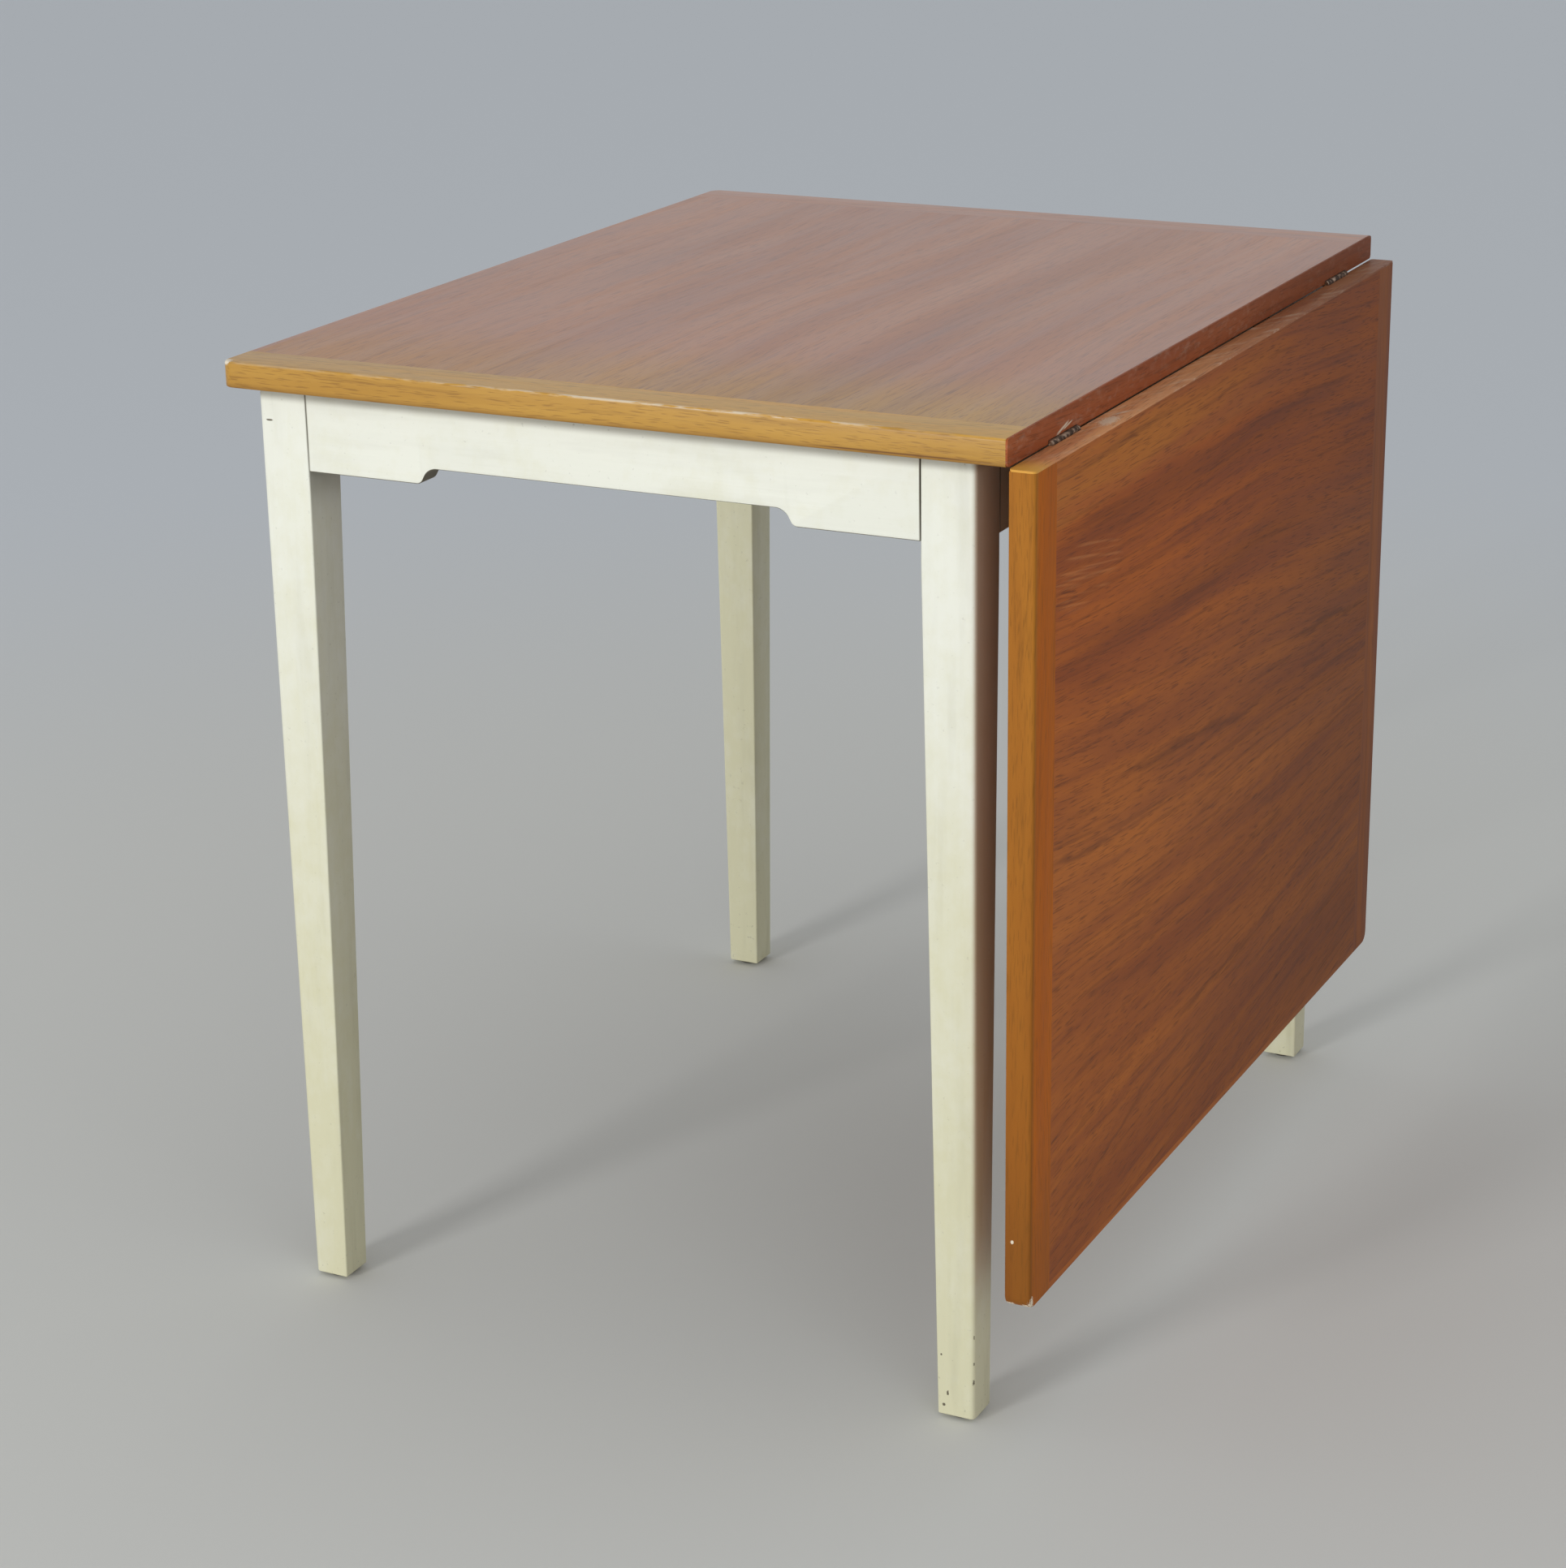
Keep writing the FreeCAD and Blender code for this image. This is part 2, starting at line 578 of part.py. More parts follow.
def apron(side, length, shaped, place, degrees, notches):
    """Apron between two legs, flush with their outer faces, with a tenon at each end."""
    label = f"apron_{side}"
    body = new_body(label, place, turned(degrees))
    face = new_sketch(body, f"{label}_face", "XZ_Plane")
    draw_apron_face(face, length, shaped)
    extrude(body, face, f"{label}_board", "apron_thickness", reverse=True)
    depth = measure("apron_depth")
    span = measure(length)

    def lower_arris(edge):
        ends = within(edge, "X", 0) or within(edge, "X", span)
        return within(edge, "Y", 0) and edge.BoundBox.ZMax < depth - TOLERANCE and not ends

    round_edges(body, f"{label}_arris", "apron_arris", lower_arris)
    tenon_size = ("tenon_length", "tenon_thickness", "apron_depth - 2 * tenon_shoulder")
    inset = "(apron_thickness - tenon_thickness) / 2"
    for end, start in (("first", "-tenon_length"), ("last", length)):
        add_box(body, "Additive", f"{label}_{end}_tenon", tenon_size, (start, inset, "tenon_shoulder"))
    hole_height = "apron_depth - block_height / 2"
    inner = f"{BLOCK_SCREW} - leg_size"
    for end, along in (("first", inner), ("last", f"{length} - ({inner})")):
        start = (along, f"apron_thickness - {HOLE_DEPTH}", hole_height)
        add_cylinder(body, "Subtractive", f"{label}_{end}_hole", SCREW_HOLE, HOLE_DEPTH, start, ALONG_Y)
    notch_size = (SLOT_WIDTH, "apron_thickness", SLOT_HEIGHT)
    for name, middle in notches:
        corner = (f"{middle} - {SLOT_WIDTH} / 2", "0", f"apron_depth - {SLOT_HEIGHT}")
        add_box(body, "Subtractive", f"{label}_{name}_notch", notch_size, corner)


def make_frame():
    """Legs, glides, corner blocks and aprons."""
    for corner in CORNERS:
        leg(*corner)
        glide(*corner)
        corner_block(*corner)
    across = "(top_width - overhang_left - overhang_right - 2 * leg_size)"
    along = "(board_depth - overhang_front - overhang_rear - 2 * leg_size)"
    low = f"{UNDERSIDE} - apron_depth"
    start = "(overhang_front + leg_size)"
    notches = (("front", f"bearer_inset - {start}"), ("rear", f"board_depth - bearer_inset - {start}"))
    apron("front", across, True, (f"{FRAME_LEFT} + leg_size", FRAME_FRONT, low), 0, ())
    apron("rear", across, True, (f"{FRAME_RIGHT} - leg_size", FRAME_REAR, low), 180, ())
    apron("left", along, True, (FRAME_LEFT, f"{FRAME_REAR} - leg_size", low), 270, ())
    apron("right", along, False, (FRAME_RIGHT, f"{FRAME_FRONT} + leg_size", low), 90, notches)


def hinge_plate(label, place, rotation, own):
    """One plate of a butt hinge with its knuckles, in a frame with the pin along Y and the plate to -X."""
    body = new_body(label, place, rotation)
    low = "axis_drop"
    plate_size = ("plate_width", "hinge_length", "plate_thickness")
    add_box(body, "Additive", f"{label}_plate", plate_size, ("-plate_width", "-hinge_length / 2", low))
    pitch = f"(hinge_length / {KNUCKLES})"
    relief = "(knuckle_diameter / 2 + knuckle_gap)"
    for index in range(KNUCKLES):
        start = f"(-hinge_length / 2 + {index} * {pitch})"
        if index % 2 == own:
            first_gap = "0" if index == 0 else "knuckle_gap / 2"
            gaps = "knuckle_gap / 2" if index in (0, KNUCKLES - 1) else "knuckle_gap"
            length = f"{pitch} - {gaps}"
            place = ("0", f"{start} + {first_gap}", "0")
            knuckle = (f"{label}_knuckle_{index + 1}", "knuckle_diameter", length, place, ALONG_Y)
            add_cylinder(body, "Additive", *knuckle)
        else:
            size = (f"{relief} + knuckle_gap", f"{pitch} + knuckle_gap", f"2 * {relief}")
            corner = (f"-{relief}", f"{start} - knuckle_gap / 2", f"-{relief}")
            add_box(body, "Subtractive", f"{label}_relief_{index + 1}", size, corner)
    bore = "pin_diameter + 2 * pin_fit"
    bore_start = ("0", "-hinge_length", "0")
    add_cylinder(body, "Subtractive", f"{label}_bore", bore, "2 * hinge_length", bore_start, ALONG_Y)
    for index, shift in enumerate(("-hinge_screw_spacing", "0", "hinge_screw_spacing"), 1):
        sink = body.newObject("PartDesign::SubtractiveCone", f"{label}_sink_{index}")
        radii = ("hinge_screw_head / 2 + screw_fit", "hinge_screw_diameter / 2 + screw_fit")
        bind(sink, {"Radius1": radii[0], "Radius2": radii[1], "Height": "plate_thickness"})
        move_to(sink, ("-hinge_screw_row", shift, low))


def make_hinges():
    """Two butt hinges: plates let into the top's underside and the leaf's inner face, and their pins."""
    for side, y in (("front", HINGE_FRONT), ("rear", HINGE_REAR)):
        place = (AXIS_X, y, AXIS_Z)
        hinge_plate(f"hinge_{side}_top_plate", place, UPRIGHT, 0)
        hinge_plate(f"hinge_{side}_leaf_plate", place, HANGING, 1)
        pin = new_body(f"hinge_{side}_pin", (AXIS_X, f"{y} - hinge_length / 2", AXIS_Z), ALONG_Y)
        add_cylinder(pin, "Additive", f"{pin.Label}_rod", "pin_diameter", "hinge_length", ("0", "0", "0"))


def make_bearers():
    """Pull-out bearers with their stop pegs, and the guides that carry their inner ends."""
    low = f"({UNDERSIDE} - bearer_play - bearer_height)"
    for side, y in (("front", BEARER_FRONT), ("rear", BEARER_REAR)):
        label = f"bearer_{side}"
        body = new_body(label, (BEARER_TAIL, f"{y} - bearer_width / 2", low))
        bar_size = (BEARER_LENGTH, "bearer_width", "bearer_height")
        add_box(body, "Additive", f"{label}_bar", bar_size, ("0", "0", "0"))
        length = measure(BEARER_LENGTH)
        round_edges(body, f"{label}_nose", "bearer_arris", lambda e, end=length: within(e, "X", end))
        groove_x = f"{BEARER_LENGTH} - finger_groove_inset"
        groove_z = "finger_groove_depth - finger_groove_diameter / 2"
        groove_start = (groove_x, "0", groove_z)
        groove = ("finger_groove_diameter", "bearer_width", groove_start, ALONG_Y)
        add_cylinder(body, "Subtractive", f"{label}_groove", *groove)
        hole = ("peg_diameter + 2 * peg_fit", "bearer_height", ("peg_inset", "bearer_width / 2", "0"))
        add_cylinder(body, "Subtractive", f"{label}_hole", *hole)
        peg = new_body(f"{label}_stop_peg", (PEG_X, y, f"{low} - peg_drop"))
        peg_length = "bearer_height + peg_drop"
        add_cylinder(peg, "Additive", f"{peg.Label}_rod", "peg_diameter", peg_length, ("0", "0", "0"))
        guide_place = (GUIDE_LEFT, f"{y} - {GUIDE_WIDTH} / 2", f"{UNDERSIDE} - {GUIDE_HEIGHT}")
        guide = new_body(f"{label}_guide", guide_place)
        guide_size = ("guide_length", GUIDE_WIDTH, GUIDE_HEIGHT)
        add_box(guide, "Additive", f"{guide.Label}_bar", guide_size, ("0", "0", "0"))
        slot_size = ("guide_length", SLOT_WIDTH, SLOT_HEIGHT)
        add_box(guide, "Subtractive", f"{guide.Label}_slot", slot_size, ("0", "guide_wall", "guide_floor"))
        walls = ("guide_wall / 2", f"{GUIDE_WIDTH} - guide_wall / 2")
        points = [("guide_length / 2", across) for across in walls]
        drill_from_below(guide, f"{guide.Label}_risers", points, SCREW_HOLE, GUIDE_HEIGHT)
        drill_from_below(guide, f"{guide.Label}_recesses", points, HEAD_HOLE, "guide_recess")


def screw_pattern(name, profile, slot_low, head):
    """One slotted screw standing on its head: turned from a half profile, with the tip up."""
    body = doc.addObject("PartDesign::Body", name)
    sketch = new_sketch(body, f"{name}_profile", "XZ_Plane")
    draw_polygon(sketch, profile)
    turn = body.newObject("PartDesign::Revolution", f"{name}_turning")
    turn.Profile = sketch
    turn.ReferenceAxis = (sketch, ["V_Axis"])
    turn.Angle = 360
    slot_size = (f"2 * {head}", "screw_slot_width", "screw_slot_depth")
    add_box(body, "Subtractive", f"{name}_slot", slot_size, (f"-{head}", "-screw_slot_width / 2", slot_low))
    return body


def round_head_screw(name, length):
    """Wood screw with a round head, its seat at zero height."""
    head = "screw_head_diameter / 2"
    shank = "screw_diameter / 2"
    profile = [
        ("0", "-screw_head_height"),
        (f"0.7 * {head}", "-screw_head_height"),
        (head, "-screw_head_height / 2"),
        (head, "0"),
        (shank, "0"),
        (shank, f"{length} - screw_diameter"),
        ("0", length),
    ]
    return screw_pattern(name, profile, "-screw_head_height", "screw_head_diameter")


def countersunk_screw(name):
    """Hinge screw with a sunk head, flush with the plate's outer face at zero height."""
    shank = "hinge_screw_diameter / 2"
    length = "plate_thickness + screw_bite"
    profile = [
        ("0", "0"),
        ("hinge_screw_head / 2", "0"),
        (shank, "plate_thickness"),
        (shank, f"{length} - hinge_screw_diameter"),
        ("0", length),
    ]
    return screw_pattern(name, profile, "0", "hinge_screw_head")


def screw_group(label, pattern, places):
    """Copies of one screw, as one node of separate solids."""
    copies = []
    for index, (place, rotation) in enumerate(places, 1):
        copy = doc.addObject("App::Link", f"{label}_{index}")
        copy.LinkedObject = pattern
        move_to(copy, place, rotation)
        copies.append(copy)
    group = doc.addObject("Part::Compound", label)
    group.Label = label
    group.Links = copies
    nodes.append(group)


def make_screws():
    """The five sets of screws."""
    hinge_screw = countersunk_screw("hinge_screw")
    seat = "axis_drop"
    top_places = []
    leaf_places = []
    for y in (HINGE_FRONT, HINGE_REAR):
        for shift in ("- hinge_screw_spacing", "", "+ hinge_screw_spacing"):
            along = f"{y} {shift}"
            top_places.append(((f"{AXIS_X} - hinge_screw_row", along, f"{AXIS_Z} + {seat}"), UPRIGHT))
            leaf_places.append(((f"{AXIS_X} + {seat}", along, f"{AXIS_Z} - hinge_screw_row"), HANGING))
    screw_group("hinge_top_screws", hinge_screw, top_places)
    screw_group("hinge_leaf_screws", hinge_screw, leaf_places)

    block_places = []
    top_fixings = []
    towards_y = FreeCAD.Rotation(FreeCAD.Vector(1, 0, 0), 90)
    towards_x = FreeCAD.Rotation(FreeCAD.Vector(0, 1, 0), -90)
    grip = "(apron_thickness + block_grip)"
    for _, x, y, degrees in CORNERS:
        height = f"{UNDERSIDE} - block_height / 2"
        for across, along, turn in ((BLOCK_SCREW, grip, towards_y), (grip, BLOCK_SCREW, towards_x)):
            plan = from_corner(x, y, degrees, across, along)
            block_places.append(((*plan, height), turned(degrees) * turn))
        plan = from_corner(x, y, degrees, BLOCK_MIDDLE, BLOCK_MIDDLE)
        top_fixings.append(((*plan, f"{UNDERSIDE} - block_height + block_recess"), UPRIGHT))
    block_screw = round_head_screw("block_screw", "(block_grip + screw_bite)")
    screw_group("corner_block_screws", block_screw, block_places)
    fixing_screw = round_head_screw("fixing_screw", "(block_height - block_recess + screw_bite)")
    screw_group("top_fixing_screws", fixing_screw, top_fixings)

    guide_places = []
    guide_seat = f"{UNDERSIDE} - {GUIDE_HEIGHT} + guide_recess"
    for y in (BEARER_FRONT, BEARER_REAR):
        for side in "-+":
            along = f"{y} {side} {GUIDE_SCREW_SIDE}"
            guide_places.append(((GUIDE_SCREW_X, along, guide_seat), UPRIGHT))
    guide_screw = round_head_screw("guide_screw", f"({GUIDE_HEIGHT} - guide_recess + screw_bite)")
    screw_group("bearer_guide_screws", guide_screw, guide_places)


def check_and_export():
    """Stops on any object in error, then writes one file for each node."""
    doc.recompute()
    for item in doc.Objects:
        if {"Invalid", "Error"} & set(item.State):
            raise RuntimeError(f"{item.Label} is in error: {item.State}")
    os.makedirs("parts", exist_ok=True)
    for node in nodes:
        if node.Shape.isNull() or not node.Shape.isValid():
            raise RuntimeError(f"{node.Label} has no valid shape")
        node.Shape.exportStep(f"parts/{node.Label}.step")


fill_sheet()
make_boards()
make_frame()
make_hinges()
make_bearers()
make_screws()
check_and_export()
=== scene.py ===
"""Drop-leaf table: finished boards, painted frame, fittings and studio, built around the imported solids."""
import math
from contextlib import contextmanager
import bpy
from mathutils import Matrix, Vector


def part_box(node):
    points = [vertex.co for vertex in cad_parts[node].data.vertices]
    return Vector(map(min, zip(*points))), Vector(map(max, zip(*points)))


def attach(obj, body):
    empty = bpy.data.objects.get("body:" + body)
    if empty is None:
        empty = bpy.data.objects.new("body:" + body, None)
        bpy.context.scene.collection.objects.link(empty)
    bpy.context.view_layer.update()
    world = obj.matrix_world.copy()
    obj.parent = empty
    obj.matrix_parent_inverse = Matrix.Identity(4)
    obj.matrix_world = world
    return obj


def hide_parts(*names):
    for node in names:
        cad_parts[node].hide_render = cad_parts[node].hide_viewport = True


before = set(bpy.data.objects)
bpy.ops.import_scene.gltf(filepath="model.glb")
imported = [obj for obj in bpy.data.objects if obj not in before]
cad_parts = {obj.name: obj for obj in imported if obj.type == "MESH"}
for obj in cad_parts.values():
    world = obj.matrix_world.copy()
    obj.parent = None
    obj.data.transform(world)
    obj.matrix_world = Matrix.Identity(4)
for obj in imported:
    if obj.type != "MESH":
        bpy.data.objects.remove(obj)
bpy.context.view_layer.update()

from fnmatch import fnmatch
from functools import partial, reduce

import bmesh
import bpy
from bpy.props import FloatProperty, FloatVectorProperty, PointerProperty
from mathutils import Matrix, Vector

bl_info = {
    "name": "Drop-leaf table",
    "version": (1, 0, 0),
    "blender": (4, 5, 0),
    "location": "3D View > Sidebar > Table",
    "description": "Models and finishes the pieces of a drop-leaf table on its packed solids",
    "category": "Object",
}

# Metres within which two places are the same
NEAR = 0.0002
# Share of a direction along an axis from which it counts as running that way
MOSTLY = 0.9
# Radians between the faces of an edge that is sharp
SHARP_EDGE = 1.2
# Upright part of the normal of a face that looks down, for rounding and for finishing
DOWN_TO_ROUND = -0.3
DOWN_TO_FINISH = -0.35
# Share of a stroke's length over which each of its ends fades
STROKE_FADE = 0.3
SMOOTH_ANGLE = math.radians(32.0)
QUARTER_TURN = math.pi / 2
FLOOR_SIZE = 40.0
SENSOR_WIDTH = 36.0
LEG_TURNS = {
    "leg_front_left": 0,
    "leg_front_right": 1,
    "leg_rear_right": 2,
    "leg_rear_left": 3,
}
GRAIN_ALONG = {
    "Y": (0.0, 0.0, 0.0),
    "X": (0.0, 0.0, QUARTER_TURN),
    "Z": (QUARTER_TURN, 0.0, 0.0),
}
# Inputs of the wood figure: its colours, and the amounts of its patterns
SHADES = ("Light", "Dark", "Vein")
FIGURE = ("Bands", "Streaks", "Lines", "Dashes")
# The first pattern that fits a node's name gives its finish
FITTINGS = {
    "hinge_*": "tarnished_steel",
    "*_screws": "tarnished_steel",
    "glide_*": "scuffed_plastic",
    "corner_block_*": "bare_beech_upright",
    "*_peg": "bare_beech_upright",
    "*_guide": "bare_beech_across",
    "bearer_*": "bare_beech_along",
}


# Settings


def length(label, about, default):
    """A named size that a user can set."""
    return FloatProperty(name=label, description=about, default=default, min=0.0, precision=4, unit="LENGTH")


def amount(label, about, default):
    """A named plain number that a user can set."""
    return FloatProperty(name=label, description=about, default=default, min=0.0, precision=3)


def angle(label, about, degrees):
    """A named angle that a user can set."""
    return FloatProperty(name=label, description=about, default=math.radians(degrees), subtype="ANGLE")


def tint(label, about, red, green, blue):
    """A named colour that a user can set."""
    return FloatVectorProperty(
        name=label, description=about, default=(red, green, blue, 1.0),
        size=4, min=0.0, max=1.0, subtype="COLOR",
    )


def point(label, about, x, y, z):
    """A named place that a user can set."""
    return FloatVectorProperty(
        name=label, description=about, default=(x, y, z), size=3, precision=4, subtype="XYZ", unit="LENGTH"
    )


class TableShape(bpy.types.PropertyGroup):
    """Sizes of the shaped and rounded edges."""

    taper_start: length("Taper start", "Height at which a leg's inner faces begin to taper", 0.635)
    foot_size: length("Foot size", "Width of a leg at the floor", 0.0285)
    leg_corner: length("Leg corner", "Radius of a leg's outermost long edge", 0.004)
    leg_arris: length("Leg arris", "Radius of a leg's other long edges", 0.0013)
    foot_arris: length("Foot arris", "Radius of the edges round a foot", 0.0012)
    apron_depth: length("Apron depth", "Height of an apron beside a leg", 0.060)
    apron_flat: length("Apron flat", "Length of an apron's lower edge beside a leg", 0.090)
    apron_rise: length("Apron rise", "Height by which an apron's lower edge rises in the middle", 0.012)
    apron_nose: length("Apron nose", "Length of the round at the low end of an apron's rise", 0.0035)
    apron_slope: length("Apron slope", "Length over which an apron's lower edge climbs", 0.0065)
    apron_cove: length("Apron cove", "Length of the hollow at the high end of an apron's rise", 0.007)
    apron_arris: length("Apron arris", "Radius of an apron's lower edges", 0.0012)
    apron_seam: length("Apron seam", "Width of the open joint between an apron and a leg", 0.0005)
    corner_radius: length("Corner radius", "Radius of a board's outer corners, seen from above", 0.010)
    board_arris: length("Board arris", "Radius of the outer edges on a board's face", 0.0022)
    under_arris: length("Under arris", "Radius of the outer edges on a board's backing", 0.001)


class TableFinish(bpy.types.PropertyGroup):
    """Colours of the woods, the paint and the metal."""

    veneer_light: tint("Veneer, light", "Light wood of the top's face", 0.47, 0.172, 0.058)
    veneer_dark: tint("Veneer, dark", "Dark wood of the top's face", 0.335, 0.108, 0.038)
    veneer_vein: tint("Veneer, vein", "Pores and dark lines of the veneered faces", 0.13, 0.040, 0.016)
    leaf_light: tint("Leaf, light", "Light wood of the leaf's face", 0.57, 0.175, 0.031)
    leaf_dark: tint("Leaf, dark", "Dark wood of the leaf's face", 0.31, 0.078, 0.017)
    leaf_glow: tint("Leaf, glow", "Tone that the leaf's face takes on towards its hinges", 1.0, 0.86, 0.68)
    leaf_shade: tint("Leaf, shaded", "Tone that the leaf's face takes on towards the rear", 0.60, 0.62, 0.80)
    lipping_light: tint("Lipping, light", "Light wood of the top's front lipping", 0.58, 0.325, 0.060)
    lipping_dark: tint("Lipping, dark", "Dark wood of the top's front lipping", 0.43, 0.215, 0.034)
    lipping_crown: tint("Lipping, crown", "Bleached wood at the front of top and leaf", 0.74, 0.375, 0.060)
    lipping_vein: tint("Lipping, vein", "Pores of the lippings", 0.17, 0.070, 0.015)
    leaf_lipping_light: tint("Leaf lipping, light", "Light wood of the leaf's lipping", 0.48, 0.195, 0.026)
    leaf_lipping_low: tint("Leaf lipping, low", "Middling wood of the leaf's lipping", 0.34, 0.118, 0.018)
    leaf_lipping_dark: tint("Leaf lipping, dark", "Dark wood of the leaf's lipping", 0.24, 0.070, 0.013)
    leaf_band_light: tint("Leaf band, light", "Light lipping on the leaf's face", 0.595, 0.160, 0.014)
    leaf_band_dark: tint("Leaf band, dark", "Dark lipping on the leaf's face", 0.43, 0.106, 0.010)
    hinge_edge_light: tint("Hinge edging, light", "Light wood of the top's hinge edging", 0.46, 0.134, 0.046)
    hinge_edge_dark: tint("Hinge edging, dark", "Dark wood of the top's hinge edging", 0.30, 0.069, 0.020)
    worn_wood: tint("Worn wood", "Wood of the leaf's hinge edging, bare of polish", 1.0, 0.51, 0.22)
    # Also the colour of the painted highlight along the top's upper front edge
    bare_wood_and_highlight: tint("Bare wood", "Pale wood in chips and on rubbed corners", 0.80, 0.70, 0.54)
    backing_light: tint("Backing, light", "Light wood of the hidden faces", 0.165, 0.066, 0.021)
    backing_dark: tint("Backing, dark", "Dark wood of the hidden faces", 0.110, 0.041, 0.014)
    paint_fresh: tint("Paint, fresh", "Cream paint where it has kept its colour", 0.82, 0.82, 0.715)
    # Darker than the fresh paint: partly yellowed paint, partly painted shade low down and at the rear
    paint_aged_and_shaded: tint("Paint, aged", "Cream paint where it has yellowed", 0.70, 0.675, 0.465)
    # Painted shade with a painted brown reflection of the leaf, on the right legs' outer sides behind it
    paint_shade_behind_leaf: tint("Paint, stain", "Brown film on the paint behind the leaf", 0.36, 0.25, 0.15)
    # Also the colour of the painted shade just under the top board
    paint_dirt_and_shade: tint("Paint, dirt", "Grime in corners and dents of the paint", 0.13, 0.11, 0.07)
    # Darker paint for the faces that look down
    underside: tint("Underside", "Dusty paint under the aprons", 0.20, 0.185, 0.145)
    beech_light: tint("Beech, light", "Light wood of the bare frame pieces", 0.60, 0.40, 0.23)
    beech_dark: tint("Beech, dark", "Dark wood of the bare frame pieces", 0.47, 0.29, 0.155)
    chip_light: tint("Chipboard, light", "Light chips of the cores", 0.55, 0.39, 0.22)
    chip_dark: tint("Chipboard, dark", "Dark chips of the cores", 0.30, 0.19, 0.10)
    steel: tint("Steel", "Metal of hinges and screws", 0.30, 0.19, 0.12)
    steel_tarnish: tint("Steel, tarnish", "Brown film on the metal", 0.060, 0.034, 0.022)
    glide: tint("Glide", "Plastic under the feet", 0.045, 0.040, 0.035)


class TableStage(bpy.types.PropertyGroup):
    """Camera, light and floor."""

    camera_place: point("Camera place", "Where the camera stands", 1.1599, -2.4238, 1.2711)
    camera_azimuth: angle("Camera azimuth", "Turn of the camera round the table", 26.77)
    camera_elevation: angle("Camera elevation", "Angle at which the camera looks down", 19.27)
    camera_roll: angle("Camera roll", "Tilt of the camera about its own axis", -0.98)
    camera_lens: amount("Camera lens", "Focal length in millimetres on a 36 mm sensor", 81.0)
    lamp_aim: point("Lamp aim", "Point that both lamps face", 0.0, 0.0, 0.4)
    key_place: point("Key place", "Where the key lamp stands", -1.6, -5.2, 1.35)
    key_width: length("Key width", "Width of the key lamp, which softens the shadows of the legs", 1.1)
    key_height: length("Key height", "Height of the key lamp, which softens the shadow of the top", 2.0)
    key_power: amount("Key power", "Power of the key lamp in watts", 126.0)
    side_place: point("Side place", "Where the side lamp stands", 2.2, -2.2, 1.5)
    side_size: length("Side size", "Width and height of the side lamp", 1.6)
    side_power: amount("Side power", "Power of the side lamp in watts", 8.0)
    fill_strength: amount("Fill strength", "Even light from all round", 0.54)
    fill_colour: tint("Fill colour", "Colour of the even light", 0.97, 0.99, 1.0)
    floor_colour: tint("Floor", "Colour of the floor round the table", 0.68, 0.68, 0.655)
    floor_far_colour: tint("Floor, far off", "Colour of the floor further off", 0.66, 0.69, 0.73)
    floor_near: length("Floor, near", "Distance from the middle at which the floor begins to pale", 0.9)
    floor_far: length("Floor, far", "Distance from the middle at which the floor is palest", 2.6)
    backdrop_colour: tint("Backdrop", "Colour seen beyond the floor and in the polish", 0.74, 0.78, 0.82)


# Modelling helpers


def clear_selection():
    """Deselects every object, in object mode."""
    if bpy.context.object and bpy.context.object.mode != "OBJECT":
        bpy.ops.object.mode_set(mode="OBJECT")
    bpy.ops.object.select_all(action="DESELECT")


def select_only(piece):
    """Makes one piece the only selected and the active one."""
    clear_selection()
    piece.select_set(True)
    bpy.context.view_layer.objects.active = piece


def add_block(name, low, high):
    """A box between two corners, with its place in its mesh."""
    clear_selection()
    bpy.ops.mesh.primitive_cube_add(size=1.0, location=(low + high) / 2, scale=high - low)
    block = bpy.context.object
    block.name = name
    block.data.name = name
    bpy.ops.object.transform_apply(location=True, rotation=True, scale=True)
    return block


@contextmanager
def edit_mode(piece):
    """Holds one piece in edit mode."""
    select_only(piece)
    bpy.ops.object.mode_set(mode="EDIT")
    yield
    bpy.ops.object.mode_set(mode="OBJECT")


def pick(piece, kind, wanted):
    """Selects only those vertices or edges of a piece in edit mode that wanted() takes."""
    bpy.ops.mesh.select_mode(type=kind)
    bpy.ops.mesh.select_all(action="DESELECT")
    mesh = bmesh.from_edit_mesh(piece.data)
    mesh.normal_update()
    items = {"VERT": mesh.verts, "EDGE": mesh.edges}[kind]
    chosen = [item for item in items if wanted(item)]
    if not chosen:
        raise ValueError(f"{piece.name}: nothing to select")
    for item in chosen:
        item.select_set(True)
    mesh.select_flush_mode()
    bmesh.update_edit_mesh(piece.data)


def middle(edge):
    """Middle of an edge."""
    return (edge.verts[0].co + edge.verts[1].co) / 2


def runs_along(edge, axis):
    """Whether an edge runs along an axis, within a slight taper."""
    span = edge.verts[1].co - edge.verts[0].co
    return abs(span[axis]) > MOSTLY * span.length


def close(first, second):
    """Whether two lengths are the same."""
    return abs(first - second) < NEAR


def lies_on(edge, *planes):
    """Whether an edge lies on every one of some planes, each given as its axis and its place."""
    return all(close(vertex.co[axis], place) for vertex in edge.verts for axis, place in planes)


def is_flat(edge, axis):
    """Whether both faces of an edge look along the same axis."""
    return all(abs(face.normal[axis]) > MOSTLY for face in edge.link_faces)


def is_outer_rim(edge, face, glued):
    """Whether an edge goes round a board's outer side on one face, and not along its glued sides."""
    inside = any(lies_on(edge, plane) for plane in glued)
    return lies_on(edge, face) and not inside and not is_flat(edge, face[0])


def on_axis(axis, size):
    """A vector along one axis."""
    vector = Vector()
    vector[axis] = size
    return vector


def cut_across(axis, place):
    """Cuts the piece in edit mode on a plane across an axis."""
    bpy.ops.mesh.select_all(action="SELECT")
    bpy.ops.mesh.bisect(plane_co=on_axis(axis, place), plane_no=on_axis(axis, 1.0))


